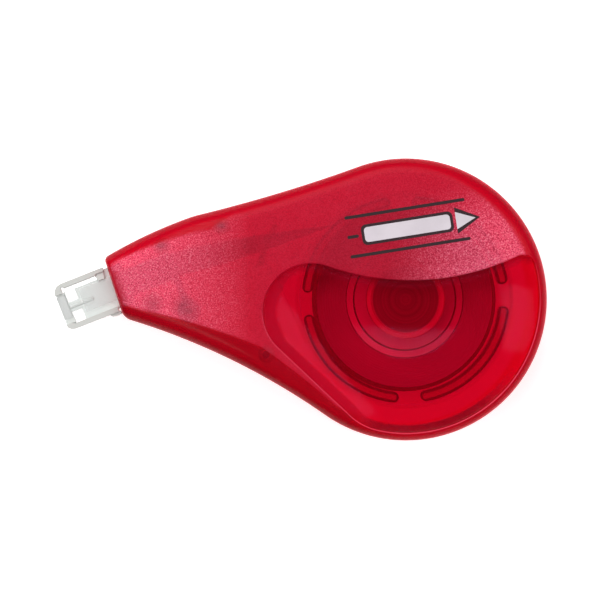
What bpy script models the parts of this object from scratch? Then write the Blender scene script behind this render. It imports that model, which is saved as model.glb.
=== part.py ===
"""Correction tape dispenser, lying on its flat back with the nose towards -X.

The origin is on the reel axis at the back face and +Z points out of the window side. Sizes are in metres.
"""

import math

import bmesh
import bpy
from mathutils import Vector

MM = 0.001

# Clearances
FIT_GAP = 0.3 * MM
RUN_GAP = 0.3 * MM
WIND_GAP = 0.15 * MM

# Tape and film
TAPE_WIDTH = 4.2 * MM
TAPE_THICKNESS = 0.15 * MM
PACK_DEPTH = 5.05 * MM
FILM_DEPTH = 0.3 * MM

# Reel stack, from the axle outwards
POST_RADIUS = 5.6 * MM
POST_WALL = 1.4 * MM
HUB_WALL = 0.94 * MM
HUB_ROOM = 1.06 * MM
SEAT_WALL = 0.9 * MM
CORE_WALL = 1.1 * MM
FLANGE_LIP = 0.9 * MM
ARC_ROOM = 0.8 * MM
ARC_WALL = 1.9 * MM
DISC_LIP = 0.6 * MM
REEL_ROOM = 4.15 * MM
ARC_COUNT = 4
ARC_BREAK = math.radians(13)
ARC_TURN = math.radians(2.5)

# Reel stack, from the back upwards
DRAG_THICKNESS = 0.4 * MM
WEB_THICKNESS = 0.7 * MM
FRICTION_THICKNESS = 0.5 * MM
DISC_THICKNESS = 0.7 * MM
COLLAR_RISE = 0.3 * MM
PRESSURE_THICKNESS = 0.4 * MM
CAP_THICKNESS = 0.4 * MM
CAP_RIM = 0.2 * MM
STEM_LENGTH = 5.0 * MM
SPRING_WIRE = 0.35 * MM
SPRING_TURNS = 2

# Case
WALL = 1.2 * MM
PARTING_GAP = 0.2 * MM
EDGE_ROUND = 2.8 * MM
MOUTH_ROUND = 0.7 * MM
UPPER_HOLLOW = 253.0 * MM
LOWER_HOLLOW = 119.0 * MM
NOSE_REACH = 50.9 * MM
NOSE_BEARING = math.radians(177.75)
NOSE_ANGLE = math.radians(21.5)
MOUTH_LEAN = math.radians(18.4)
MOUTH_MARGIN = 1.4 * MM
BROW_ALONG = 17.7 * MM
BROW_ACROSS = 6.5 * MM
BROW_BULGE = 0.45 * MM
BROW_CORNER = 4.0 * MM
UPPER_CORNER = 0.9 * MM
LOWER_CORNER = 1.2 * MM
NOSE_FALL = 3.6 * MM
FALL_POWER = 1.4

# Window
WINDOW_RECESS = 2.0 * MM
WINDOW_RIM = 1.4 * MM
WINDOW_RISE = 0.018
LOBE_BEFORE = 16.4 * MM
LOBE_BELOW = 2.2 * MM
LOBE_RADIUS = 8.4 * MM
SAG_RADIUS = 43.0 * MM
SAG_X = 0.65 * MM
CHORD_ANGLE = math.radians(226.8)
WINDOW_CORNER = 2.2 * MM
WINDOW_BLEND = 10.0 * MM

# Pegs, placed from the tip or by a share along a flank and a distance in from it
PEG_RADIUS = 0.6 * MM
SOCKET_WALL = 0.6 * MM
PEG_DEPTH = 2.5 * MM
BROW_PEG_SHARE = 0.42
BROW_PEG_INSET = 2.7 * MM
UPPER_PEG_SHARE = 0.86
UPPER_PEG_INSET = 2.7 * MM
LOWER_PEG_SHARE = 0.64
LOWER_PEG_INSET = 3.5 * MM
NOSE_PEG_ALONG = 10.7 * MM
NOSE_PEG_ACROSS = 8.5 * MM
GUIDE_RADIUS = 1.5 * MM
GUIDE_ALONG = 25.0 * MM
RIB_ROOM = 1.0 * MM
RIB_DEPTH = 1.0 * MM
RIB_START = math.radians(150)
RIB_END = math.radians(167)

# Applicator tip, along its axis from the mouth and across it
TIP_REACH = 10.2 * MM
TOP_RAIL = 0.68 * MM
LOW_RAIL = 0.93 * MM
TOP_ROOM = 1.36 * MM
LOW_ROOM = 1.11 * MM
RAIL_HALF = 1.3 * MM
RAIL_START = 0.7 * MM
BAR_HALF = 0.5 * MM
PLATE_HALF = 0.35 * MM
BAR_LENGTH = 1.35 * MM
HOLE_LENGTH = 1.8 * MM
SLOT_WIDTH = 0.79 * MM
SLOT_LENGTH = 6.6 * MM
RIB_TOP = 0.58 * MM
RIB_LOW = 1.19 * MM
TIP_RIB_LENGTH = 4.2 * MM
NECK_LENGTH = 2.5 * MM
EAR_WALL = 1.2 * MM
EAR_HALF = 0.5 * MM
TOP_TIP_ROUND = 1.7 * MM
LOW_TIP_ROUND = 1.2 * MM

# Facets
BODY_STEPS = 26
FLANK_STEPS = 6
EDGE_STEPS = 4
CORNER_STEPS = 3
TURN_STEPS = 48
SMALL_STEPS = 16
CURL_POINTS = 10
TWIST_STEPS = 24

# Radii that follow
BORE_RADIUS = POST_RADIUS + RUN_GAP
HUB_RADIUS = BORE_RADIUS + HUB_WALL
SEAT_INNER = HUB_RADIUS + HUB_ROOM
SEAT_RADIUS = SEAT_INNER + SEAT_WALL
CORE_INNER = SEAT_RADIUS + FIT_GAP
CORE_RADIUS = CORE_INNER + CORE_WALL
PACK_INNER = CORE_RADIUS + WIND_GAP
PACK_RADIUS = PACK_INNER + PACK_DEPTH
FLANGE_RADIUS = PACK_RADIUS + FLANGE_LIP
ARC_INNER = PACK_RADIUS + ARC_ROOM
ARC_RADIUS = ARC_INNER + ARC_WALL
FILM_INNER = ARC_RADIUS + WIND_GAP
FILM_RADIUS = FILM_INNER + FILM_DEPTH
DISC_RADIUS = FILM_RADIUS + DISC_LIP
BODY_RADIUS = DISC_RADIUS + REEL_ROOM + WALL
WINDOW_RADIUS = BODY_RADIUS - WINDOW_RIM
RIB_INNER = BODY_RADIUS + RIB_ROOM

# Heights that follow
DRAG_LOW = WALL + RUN_GAP
WEB_LOW = DRAG_LOW + DRAG_THICKNESS + FIT_GAP
WEB_HIGH = WEB_LOW + WEB_THICKNESS
PACK_LOW = WEB_LOW + FIT_GAP
PACK_HIGH = PACK_LOW + TAPE_WIDTH
HUB_TOP = PACK_HIGH + FIT_GAP
FRICTION_LOW = HUB_TOP + FIT_GAP
DISC_LOW = FRICTION_LOW + FRICTION_THICKNESS + FIT_GAP
DISC_HIGH = DISC_LOW + DISC_THICKNESS
FILM_LOW = DISC_HIGH + FIT_GAP
FILM_HIGH = FILM_LOW + TAPE_WIDTH
PANE_LOW = FILM_HIGH + RUN_GAP
PANE_HIGH = PANE_LOW + WALL
CASE_DEPTH = PANE_HIGH + WINDOW_RECESS
PARTING = CASE_DEPTH / 2
COLLAR_TOP = DISC_HIGH + COLLAR_RISE
PRESSURE_LOW = COLLAR_TOP + FIT_GAP
PRESSURE_HIGH = PRESSURE_LOW + PRESSURE_THICKNESS
CAP_HIGH = PANE_LOW - RUN_GAP - CAP_RIM
CAP_LOW = CAP_HIGH - CAP_THICKNESS
POST_TOP = CAP_LOW - FIT_GAP

# Tip sizes that follow
TIP_TOP = TAPE_WIDTH / 2 + TOP_ROOM + TOP_RAIL
TIP_LOW = TAPE_WIDTH / 2 + LOW_ROOM + LOW_RAIL
NECK_TOP = TIP_TOP - TOP_RAIL / 2
NECK_LOW = TIP_LOW - LOW_RAIL / 2
TONGUE_HALF = TAPE_WIDTH / 2 + FIT_GAP
TONGUE_LENGTH = NOSE_PEG_ALONG + FIT_GAP
WRAP = BAR_HALF + FIT_GAP + TAPE_THICKNESS / 2
BAR_CENTRE = TIP_REACH - WRAP - TAPE_THICKNESS / 2
BAR_BACK = BAR_CENTRE + BAR_HALF - BAR_LENGTH
HOLE_BACK = BAR_BACK - HOLE_LENGTH
LOOP_START = HOLE_BACK - FIT_GAP
MOUTH_HALF = max(TIP_TOP, TIP_LOW) + MOUTH_MARGIN

Z_AXIS = Vector((0, 0, 1))
HALF_TURN = math.pi
FULL_TURN = 2 * math.pi


def ray(angle):
    """The unit vector at an angle from +X."""
    return Vector((math.cos(angle), math.sin(angle)))


MOUTH = NOSE_REACH * ray(NOSE_BEARING)
TIP_OUT = ray(NOSE_ANGLE + HALF_TURN)
TIP_UP = ray(NOSE_ANGLE + HALF_TURN / 2)
MOUTH_UP = ray(MOUTH_LEAN + HALF_TURN / 2)


def tip_point(along, across):
    """A plan point of the tip: along its axis out from the mouth, and across it."""
    return MOUTH + along * TIP_OUT + across * TIP_UP


def left_of(direction):
    """The direction turned a quarter to the left."""
    return Vector((-direction.y, direction.x))


def arc(centre, radius, start, end, steps):
    """Points along an arc, both ends included."""
    return [centre + radius * ray(start + (end - start) * step / steps) for step in range(steps + 1)]


def circle(centre, radius, steps):
    """Points round a whole circle."""
    return arc(centre, radius, 0, FULL_TURN, steps)[:-1]


def leave_angle(hollow, end, side):
    """The bearing where a hollow arc of this radius leaves the body circle on its way to a point."""
    reach = BODY_RADIUS + hollow
    turn = math.acos((end.length_squared + reach ** 2 - hollow ** 2) / (2 * end.length * reach))
    return HALF_TURN + math.atan2(-end.y, -end.x) + side * turn


def flank(leave, hollow, end):
    """The hollow arc that leaves the body circle at a bearing and stops at a point."""
    out = ray(leave)
    centre = (BODY_RADIUS + hollow) * out
    start = leave + HALF_TURN
    turn = (-out).angle_signed(end - centre)
    return arc(centre, hollow, start, start - turn, FLANK_STEPS)


def bulged(start, end, bulge, steps):
    """Points of a shallow arc from one point to another, standing out to the right of the way."""
    side = -left_of((end - start).normalized())
    shares = [step / steps for step in range(steps + 1)]
    return [start.lerp(end, share) + side * bulge * 4 * share * (1 - share) for share in shares]


BROW = tip_point(-BROW_ALONG, BROW_ACROSS)
MOUTH_TOP = MOUTH + MOUTH_HALF * MOUTH_UP
MOUTH_FOOT = MOUTH - MOUTH_HALF * MOUTH_UP
UPPER_LEAVE = leave_angle(UPPER_HOLLOW, BROW, -1)
LOWER_LEAVE = leave_angle(LOWER_HOLLOW, MOUTH_FOOT, 1)
UPPER_FLANK = flank(UPPER_LEAVE, UPPER_HOLLOW, BROW)
BROW_FLANK = bulged(BROW, MOUTH_TOP, BROW_BULGE, FLANK_STEPS // 2)
LOWER_FLANK = flank(LOWER_LEAVE, LOWER_HOLLOW, MOUTH_FOOT)[::-1]
LOBE_CENTRE = Vector((-LOBE_BEFORE, -LOBE_BELOW))
FALL_START = LOBE_CENTRE.x - LOBE_RADIUS - WALL - FIT_GAP


def case_outline():
    """The plan of the case, anticlockwise, as points, corner radii and the edge rounding of each side."""
    body = arc(Vector((0, 0)), BODY_RADIUS, LOWER_LEAVE - FULL_TURN, UPPER_LEAVE, BODY_STEPS)
    points = body + UPPER_FLANK[1:] + BROW_FLANK[1:] + LOWER_FLANK[:-1]
    radii = [0.0] * len(points)
    rounding = [EDGE_ROUND] * len(points)
    brow = len(body) + len(UPPER_FLANK) - 2
    top = brow + len(BROW_FLANK) - 1
    radii[brow] = BROW_CORNER
    radii[top] = UPPER_CORNER
    radii[top + 1] = LOWER_CORNER
    rounding[top] = MOUTH_ROUND
    return points, radii, rounding


def inset(points, distances):
    """Each side of an anticlockwise polygon moved in by its own distance."""
    count = len(points)
    moved = []
    for index, point in enumerate(points):
        before = (point - points[index - 1]).normalized()
        after = (points[(index + 1) % count] - point).normalized()
        first = left_of(before)
        second = left_of(after)
        cross = first.x * second.y - first.y * second.x
        if abs(cross) < 1e-4:
            moved.append(point + first * distances[index])
            continue
        near = distances[index - 1]
        far = distances[index]
        shift = Vector((near * second.y - far * first.y, far * first.x - near * second.x)) / cross
        moved.append(point + shift)
    return moved


def rounded(points, radii):
    """The polygon with an arc at each corner that has a radius."""
    count = len(points)
    result = []
    for index, point in enumerate(points):
        if radii[index] == 0:
            result.append(point)
            continue
        before = (point - points[index - 1]).normalized()
        after = (points[(index + 1) % count] - point).normalized()
        turn = after.angle_signed(before)
        reach = radii[index] * math.tan(abs(turn) / 2)
        side = math.copysign(1, turn)
        centre = point - reach * before + side * radii[index] * left_of(before)
        start = math.atan2(*reversed(-side * left_of(before)))
        result += arc(centre, radii[index], start, start + turn, CORNER_STEPS)
    return result


def fall(x):
    """How far the faces of the case have come in at this place along the nose."""
    share = max(0.0, (FALL_START - x) / (FALL_START - MOUTH_TOP.x))
    return NOSE_FALL * share ** FALL_POWER


def new_object(name, bm):
    """An object from a filled bmesh, with its faces turned outwards."""
    bmesh.ops.recalc_face_normals(bm, faces=bm.faces)
    if bm.calc_volume(signed=True) < 0:
        bmesh.ops.reverse_faces(bm, faces=bm.faces)
    mesh = bpy.data.meshes.new(name)
    bm.to_mesh(mesh)
    bm.free()
    obj = bpy.data.objects.new(name, mesh)
    bpy.context.collection.objects.link(obj)
    return obj


def helper(obj):
    """Marks an object as a tool of a Boolean only."""
    obj.hide_render = True
    obj.display_type = "WIRE"
    return obj


def combine(target, tool, operation):
    """Adds a Boolean of the tool to the target."""
    modifier = target.modifiers.new(tool.name, "BOOLEAN")
    modifier.object = helper(tool)
    modifier.operation = operation
    modifier.solver = "EXACT"


def ring_stack(bm, rings, closed):
    """Joins rings of equal count by quads. The last joins the first, or else both ends get a cap."""
    loops = [[bm.verts.new(point) for point in ring] for ring in rings]
    pairs = list(zip(loops, loops[1:]))
    if closed:
        pairs.append((loops[-1], loops[0]))
    else:
        bm.faces.new(loops[0])
        bm.faces.new(loops[-1])
    for lower, upper in pairs:
        count = len(lower)
        for index in range(count):
            after = (index + 1) % count
            bm.faces.new((lower[index], lower[after], upper[after], upper[index]))


def prism(name, outline, low, high):
    """A plan outline drawn out between two heights."""
    bm = bmesh.new()
    rings = [[Vector((point.x, point.y, height)) for point in outline] for height in (low, high)]
    ring_stack(bm, rings, False)
    return new_object(name, bm)


def turned(name, profile, steps):
    """A closed profile of radius and height pairs turned once about the reel axis."""
    bm = bmesh.new()
    rings = []
    for step in range(steps):
        out = ray(FULL_TURN * step / steps)
        rings.append([Vector((radius * out.x, radius * out.y, height)) for radius, height in profile])
    ring_stack(bm, rings, True)
    return new_object(name, bm)


def washer(name, inner, outer, low, high):
    """A plain turned ring."""
    return turned(name, [(inner, low), (outer, low), (outer, high), (inner, high)], TURN_STEPS)


def tip_box(name, start, end, low, high, half):
    """A box in the tip's own directions, centred on the parting height."""
    corners = [tip_point(start, low), tip_point(end, low), tip_point(end, high), tip_point(start, high)]
    return prism(name, corners, PARTING - half, PARTING + half)


def ribbon(name, stations):
    """A strip of tape swept through places, each with the direction across the strip.

    Its two faces are split along the same diagonals, so that a twisted length keeps its thickness.
    """
    bm = bmesh.new()
    count = len(stations)
    rings = []
    for index, (place, across) in enumerate(stations):
        before = stations[max(index - 1, 0)][0]
        after = stations[min(index + 1, count - 1)][0]
        normal = (after - before).cross(across).normalized() * TAPE_THICKNESS / 2
        side = across.normalized() * TAPE_WIDTH / 2
        rings.append([place - side - normal, place + side - normal, place + side + normal, place - side + normal])
    loops = [[bm.verts.new(point) for point in ring] for ring in rings]
    bm.faces.new(loops[0])
    bm.faces.new(loops[-1])
    for lower, upper in zip(loops, loops[1:]):
        for index in range(len(lower)):
            after = (index + 1) % len(lower)
            corners = [lower[index], lower[after], upper[after], upper[index]]
            shift = index // 2
            first, second, third, fourth = corners[shift:] + corners[:shift]
            bm.faces.new((first, second, third))
            bm.faces.new((first, third, fourth))
    return new_object(name, bm)


def paint(obj, colour, roughness, transmission):
    """Gives the object its own plain material."""
    material = bpy.data.materials.new(obj.name)
    material.use_nodes = True
    shader = material.node_tree.nodes["Principled BSDF"]
    shader.inputs["Base Color"].default_value = (*colour, 1)
    shader.inputs["Roughness"].default_value = roughness
    shader.inputs["Transmission Weight"].default_value = transmission
    obj.data.materials.append(material)


def case_half(name, wall, start, sign):
    """One half of the case as a solid, its surface set in by a wall. The sign is 1 for the front, -1 for the back."""
    points, radii, rounding = case_outline()
    half = CASE_DEPTH / 2
    curve = EDGE_ROUND - wall
    levels = [(0.0, start)]
    for step in range(EDGE_STEPS + 1):
        angle = HALF_TURN / 2 * step / EDGE_STEPS
        levels.append((angle, half - EDGE_ROUND + curve * math.sin(angle)))
    bm = bmesh.new()
    rings = []
    for angle, height in levels:
        share = 1 - math.cos(angle)
        ways = [wall + max(edge - wall, 0) * share for edge in rounding]
        less = wall + curve * share
        corners = [max(radius - less, FIT_GAP) if radius else 0 for radius in radii]
        plan = rounded(inset(points, ways), corners)
        rings.append([Vector((point.x, point.y, height)) for point in plan])
    ring_stack(bm, rings, False)
    for step in range(FLANK_STEPS):
        place = FALL_START + (MOUTH_TOP.x - FALL_START) * step / FLANK_STEPS
        geometry = bm.verts[:] + bm.edges[:] + bm.faces[:]
        bmesh.ops.bisect_plane(bm, geom=geometry, dist=1e-7, plane_co=(place, 0, 0), plane_no=(1, 0, 0))
    for vert in bm.verts:
        share = min(1.0, max(0.0, vert.co.z / (half - EDGE_ROUND)))
        vert.co.z = PARTING + sign * (vert.co.z - fall(vert.co.x) * share)
    return new_object(name, bm)


def window_outline():
    """The plan of the sunken window, anticlockwise, as points and corner radii."""
    reach = SAG_RADIUS + LOBE_RADIUS
    aside = SAG_X - LOBE_CENTRE.x
    sag = Vector((SAG_X, LOBE_CENTRE.y + math.sqrt(reach ** 2 - aside ** 2)))
    apart = sag.length
    along = (WINDOW_RADIUS ** 2 - SAG_RADIUS ** 2 + apart ** 2) / (2 * apart)
    swing = math.acos(along / WINDOW_RADIUS)
    corner = math.atan2(sag.y, sag.x) - swing
    meet = WINDOW_RADIUS * ray(corner)
    start = math.atan2(meet.y - sag.y, meet.x - sag.x)
    joint = math.atan2(LOBE_CENTRE.y - sag.y, LOBE_CENTRE.x - sag.x)
    top = arc(sag, SAG_RADIUS, start, joint, FLANK_STEPS + 4)
    lobe = arc(LOBE_CENTRE, LOBE_RADIUS, joint + HALF_TURN, CHORD_ANGLE, FLANK_STEPS + 2)
    normal = ray(CHORD_ANGLE)
    depth = normal.dot(LOBE_CENTRE) + LOBE_RADIUS
    chord_end = CHORD_ANGLE + math.acos(depth / WINDOW_RADIUS)
    rim = arc(Vector((0, 0)), WINDOW_RADIUS, chord_end - FULL_TURN, corner, BODY_STEPS // 2)
    points = top + lobe[1:] + rim[:-1]
    radii = [0.0] * len(points)
    radii[0] = WINDOW_CORNER
    radii[len(top) + len(lobe) - 1] = WINDOW_BLEND
    return points, radii


def sunk(name, spread, low):
    """A prism of the window plan, spread outwards, whose floor rises towards the lower rim."""
    points, radii = window_outline()
    points = inset(points, [-spread] * len(points))
    outline = rounded(points, [radius + spread if radius else 0 for radius in radii])
    obj = prism(name, outline, low, CASE_DEPTH + WALL)
    highest = max(point.y for point in outline)
    for vert in obj.data.vertices:
        if vert.co.z < CASE_DEPTH:
            vert.co.z += WINDOW_RISE * (highest - vert.co.y)
    return obj


def inside(curve, share, distance):
    """The place this share of the way along a flank and this far in from it."""
    place = share * (len(curve) - 1)
    index = min(int(place), len(curve) - 2)
    ahead = (curve[index + 1] - curve[index]).normalized()
    return curve[index].lerp(curve[index + 1], place - index) + distance * left_of(ahead)


PEGS = {
    "brow": inside(BROW_FLANK, BROW_PEG_SHARE, BROW_PEG_INSET),
    "upper": inside(UPPER_FLANK, UPPER_PEG_SHARE, UPPER_PEG_INSET),
    "nose": tip_point(-NOSE_PEG_ALONG, -NOSE_PEG_ACROSS),
    "lower": inside(LOWER_FLANK, LOWER_PEG_SHARE, LOWER_PEG_INSET),
}
GUIDE = tip_point(-GUIDE_ALONG, -(GUIDE_RADIUS + FIT_GAP + TAPE_THICKNESS / 2))
SOCKET_TOP = PARTING - max(WRAP + TAPE_THICKNESS / 2, EAR_HALF) - FIT_GAP
PEG_END = SOCKET_TOP - PEG_DEPTH


def mouth_cutter(name):
    """The opening for the neck of the tip."""
    low = -(NECK_LOW + FIT_GAP)
    high = NECK_TOP + FIT_GAP
    return tip_box(name, 3 * WALL, -3 * WALL, low, high, RAIL_HALF + FIT_GAP)


def tube(name, place, inner, outer, low, high):
    """An upright tube that is open at both ends."""
    bm = bmesh.new()
    profile = [(inner, low), (outer, low), (outer, high), (inner, high)]
    rings = []
    for step in range(SMALL_STEPS):
        out = ray(FULL_TURN * step / SMALL_STEPS)
        rings.append([Vector((*(place + radius * out), height)) for radius, height in profile])
    ring_stack(bm, rings, True)
    return new_object(name, bm)


def build_front_shell():
    """The front half with its sunken window, pegs, film guide and mouth."""
    shell = case_half("front_shell", 0.0, PARTING_GAP / 2, 1)
    cavity = case_half("front_cavity", WALL, -WALL, 1)
    combine(cavity, sunk("window_tub", WALL, PANE_LOW), "DIFFERENCE")
    combine(shell, cavity, "DIFFERENCE")
    combine(shell, sunk("window_cut", 0.0, PANE_HIGH), "DIFFERENCE")
    combine(shell, mouth_cutter("front_mouth"), "DIFFERENCE")
    for name, place in PEGS.items():
        top = CASE_DEPTH - fall(place.x) - WALL / 2
        peg = prism(name + "_peg", circle(place, PEG_RADIUS, SMALL_STEPS), PEG_END, top)
        combine(shell, peg, "UNION")
    top = CASE_DEPTH - fall(GUIDE.x) - WALL / 2
    guide = prism("film_guide", circle(GUIDE, GUIDE_RADIUS, SMALL_STEPS), FILM_LOW - FIT_GAP, top)
    combine(shell, guide, "UNION")
    centre = Vector((0, 0))
    outer = arc(centre, RIB_INNER + RIB_DEPTH, RIB_START, RIB_END, FLANK_STEPS)
    inner = arc(centre, RIB_INNER, RIB_END, RIB_START, FLANK_STEPS)
    rib = prism("chamber_rib", outer + inner, FILM_HIGH + RUN_GAP, CASE_DEPTH - WALL / 2)
    combine(shell, rib, "UNION")
    paint(shell, (0.62, 0.01, 0.04), 0.25, 0.6)


def build_back_shell():
    """The back half with the hollow axle post, the peg sockets and its part of the mouth."""
    shell = case_half("back_shell", 0.0, PARTING_GAP / 2, -1)
    combine(shell, case_half("back_cavity", WALL, -WALL, -1), "DIFFERENCE")
    combine(shell, mouth_cutter("back_mouth"), "DIFFERENCE")
    post = washer("axle_post", POST_RADIUS - POST_WALL, POST_RADIUS, WALL / 2, POST_TOP)
    combine(shell, post, "UNION")
    for name, place in PEGS.items():
        inner = PEG_RADIUS + FIT_GAP
        low = fall(place.x) + WALL / 2
        socket = tube(name + "_socket", place, inner, inner + SOCKET_WALL, low, SOCKET_TOP)
        combine(shell, socket, "UNION")
    paint(shell, (0.62, 0.01, 0.04), 0.3, 0.6)


def build_tip():
    """The white tip: a thin plate with a rounded front bar, two rails, a middle rib and an ear on the nose peg."""
    front = arc(Vector((BAR_CENTRE, 0)), BAR_HALF, -HALF_TURN / 2, HALF_TURN / 2, EDGE_STEPS)
    back = [Vector((BAR_BACK, BAR_HALF)), Vector((BAR_BACK, PLATE_HALF)), Vector((-NECK_LENGTH, PLATE_HALF))]
    under = [Vector((point.x, -point.y)) for point in reversed(back)]
    rings = []
    for across in (-NECK_LOW, NECK_TOP):
        ring = []
        for point in front + back + under:
            place = tip_point(point.x, across)
            ring.append(Vector((place.x, place.y, PARTING + point.y)))
        rings.append(ring)
    bm = bmesh.new()
    ring_stack(bm, rings, False)
    tip = new_object("applicator_tip", bm)
    thin = PLATE_HALF - WIND_GAP / 2
    tongue = tip_box("tongue", -TONGUE_LENGTH, -NECK_LENGTH / 2, -TONGUE_HALF, TONGUE_HALF, thin)
    combine(tip, tongue, "UNION")
    hole_top = TIP_TOP - TOP_RAIL - SLOT_WIDTH
    deep = BAR_HALF + FIT_GAP
    hole_end = BAR_BACK + WIND_GAP / 2
    combine(tip, tip_box("upper_hole", HOLE_BACK, hole_end, RIB_TOP, hole_top, deep), "DIFFERENCE")
    combine(tip, tip_box("lower_hole", HOLE_BACK, hole_end, -TIP_LOW, -RIB_LOW, deep), "DIFFERENCE")
    slot_end = BAR_BACK + BAR_HALF
    slot = tip_box("tip_slot", slot_end - SLOT_LENGTH, slot_end, hole_top - WIND_GAP, TIP_TOP, deep)
    combine(tip, slot, "DIFFERENCE")
    rib_back = BAR_BACK - TIP_RIB_LENGTH
    rib_half = (BAR_HALF + PLATE_HALF) / 2
    rib = tip_box("tip_rib", rib_back, BAR_BACK + WIND_GAP, WIND_GAP - RIB_LOW, RIB_TOP - WIND_GAP, rib_half)
    combine(tip, rib, "UNION")
    hook = slot_end - WIND_GAP / 2
    sides = (
        ("top_rail", TIP_TOP - TOP_RAIL, TIP_TOP, TOP_TIP_ROUND),
        ("low_rail", LOW_RAIL - TIP_LOW, -TIP_LOW, -LOW_TIP_ROUND),
    )
    for name, inner, outer, sweep in sides:
        outline = [tip_point(RAIL_START, outer)]
        for step in range(CORNER_STEPS + 1):
            turn = ray(HALF_TURN / 2 * step / CORNER_STEPS)
            outline.append(tip_point(TIP_REACH - abs(sweep) * (1 - turn.y), outer - sweep * (1 - turn.x)))
        shoulder = outer - sweep
        outline += [tip_point(hook, shoulder), tip_point(hook, inner), tip_point(RAIL_START, inner)]
        combine(tip, prism(name, outline, PARTING - RAIL_HALF, PARTING + RAIL_HALF), "UNION")
    peg = PEGS["nose"]
    root = tip_point(-NOSE_PEG_ALONG, 0)
    aside = TIP_OUT * PEG_RADIUS
    arm = [root + aside, root - aside, peg - aside, peg + aside]
    ear_radius = PEG_RADIUS + FIT_GAP + EAR_WALL
    combine(tip, prism("ear_arm", arm, PARTING - EAR_HALF, PARTING + EAR_HALF), "UNION")
    deep = EAR_HALF - WIND_GAP / 2
    ear = prism("ear", circle(peg, ear_radius, SMALL_STEPS), PARTING - deep, PARTING + deep)
    combine(tip, ear, "UNION")
    hole = prism("ear_hole", circle(peg, PEG_RADIUS + FIT_GAP, SMALL_STEPS), PARTING - WALL, PARTING + WALL)
    combine(tip, hole, "DIFFERENCE")
    paint(tip, (0.85, 0.85, 0.83), 0.4, 0.0)


def build_supply():
    """The supply reel with its core, its wound tape, and the washers below and above it."""
    pocket = SEAT_INNER + FIT_GAP
    profile = [
        (BORE_RADIUS, WEB_LOW),
        (pocket, WEB_LOW),
        (pocket, DRAG_LOW),
        (FLANGE_RADIUS, DRAG_LOW),
        (FLANGE_RADIUS, WEB_LOW),
        (SEAT_RADIUS, WEB_LOW),
        (SEAT_RADIUS, HUB_TOP),
        (SEAT_INNER, HUB_TOP),
        (SEAT_INNER, WEB_HIGH),
        (HUB_RADIUS, WEB_HIGH),
        (HUB_RADIUS, HUB_TOP),
        (BORE_RADIUS, HUB_TOP),
    ]
    paint(turned("supply_reel", profile, TURN_STEPS), (0.62, 0.01, 0.04), 0.3, 0.5)
    core = washer("tape_core", CORE_INNER, CORE_RADIUS, PACK_LOW, HUB_TOP)
    paint(core, (0.8, 0.78, 0.74), 0.5, 0.0)
    paint(washer("tape_pack", PACK_INNER, PACK_RADIUS, PACK_LOW, PACK_HIGH), (0.8, 0.8, 0.78), 0.6, 0.0)
    drag = washer("drag_washer", BORE_RADIUS, SEAT_INNER, DRAG_LOW, DRAG_LOW + DRAG_THICKNESS)
    paint(drag, (0.2, 0.2, 0.2), 0.8, 0.0)
    high = FRICTION_LOW + FRICTION_THICKNESS
    friction = washer("friction_washer", BORE_RADIUS, SEAT_RADIUS, FRICTION_LOW, high)
    paint(friction, (0.2, 0.2, 0.2), 0.8, 0.0)


def build_take_up():
    """The take-up reel with its four arc walls, the film round them, and the clutch parts above it."""
    profile = [
        (BORE_RADIUS, DISC_LOW),
        (DISC_RADIUS, DISC_LOW),
        (DISC_RADIUS, DISC_HIGH),
        (HUB_RADIUS, DISC_HIGH),
        (HUB_RADIUS, COLLAR_TOP),
        (BORE_RADIUS, COLLAR_TOP),
    ]
    reel = turned("take_up_reel", profile, TURN_STEPS)
    span = FULL_TURN / ARC_COUNT - ARC_BREAK
    for index in range(ARC_COUNT):
        start = ARC_TURN + ARC_BREAK / 2 + FULL_TURN * index / ARC_COUNT
        outer = arc(Vector((0, 0)), ARC_RADIUS, start, start + span, FLANK_STEPS + 2)
        inner = arc(Vector((0, 0)), ARC_INNER, start + span, start, FLANK_STEPS + 2)
        wall = prism(f"arc_wall_{index + 1}", outer + inner, DISC_LOW + DISC_THICKNESS / 2, FILM_HIGH)
        combine(reel, wall, "UNION")
    paint(reel, (0.62, 0.01, 0.04), 0.3, 0.5)
    paint(washer("film_winding", FILM_INNER, FILM_RADIUS, FILM_LOW, FILM_HIGH), (0.85, 0.85, 0.85), 0.2, 0.5)
    pressure = washer("pressure_washer", BORE_RADIUS, HUB_RADIUS, PRESSURE_LOW, PRESSURE_HIGH)
    paint(pressure, (0.2, 0.2, 0.2), 0.5, 0.0)
    stem = POST_RADIUS - POST_WALL - FIT_GAP
    bm = bmesh.new()
    levels = (
        (stem, CAP_LOW - STEM_LENGTH),
        (stem, CAP_LOW),
        (HUB_RADIUS, CAP_LOW),
        (HUB_RADIUS, CAP_HIGH + CAP_RIM),
        (BORE_RADIUS, CAP_HIGH + CAP_RIM),
        (BORE_RADIUS, CAP_HIGH),
    )
    rings = []
    for radius, height in levels:
        rings.append([Vector((*point, height)) for point in circle(Vector((0, 0)), radius, TURN_STEPS)])
    ring_stack(bm, rings, False)
    paint(new_object("axle_cap", bm), (0.35, 0.01, 0.03), 0.3, 0.3)


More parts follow.
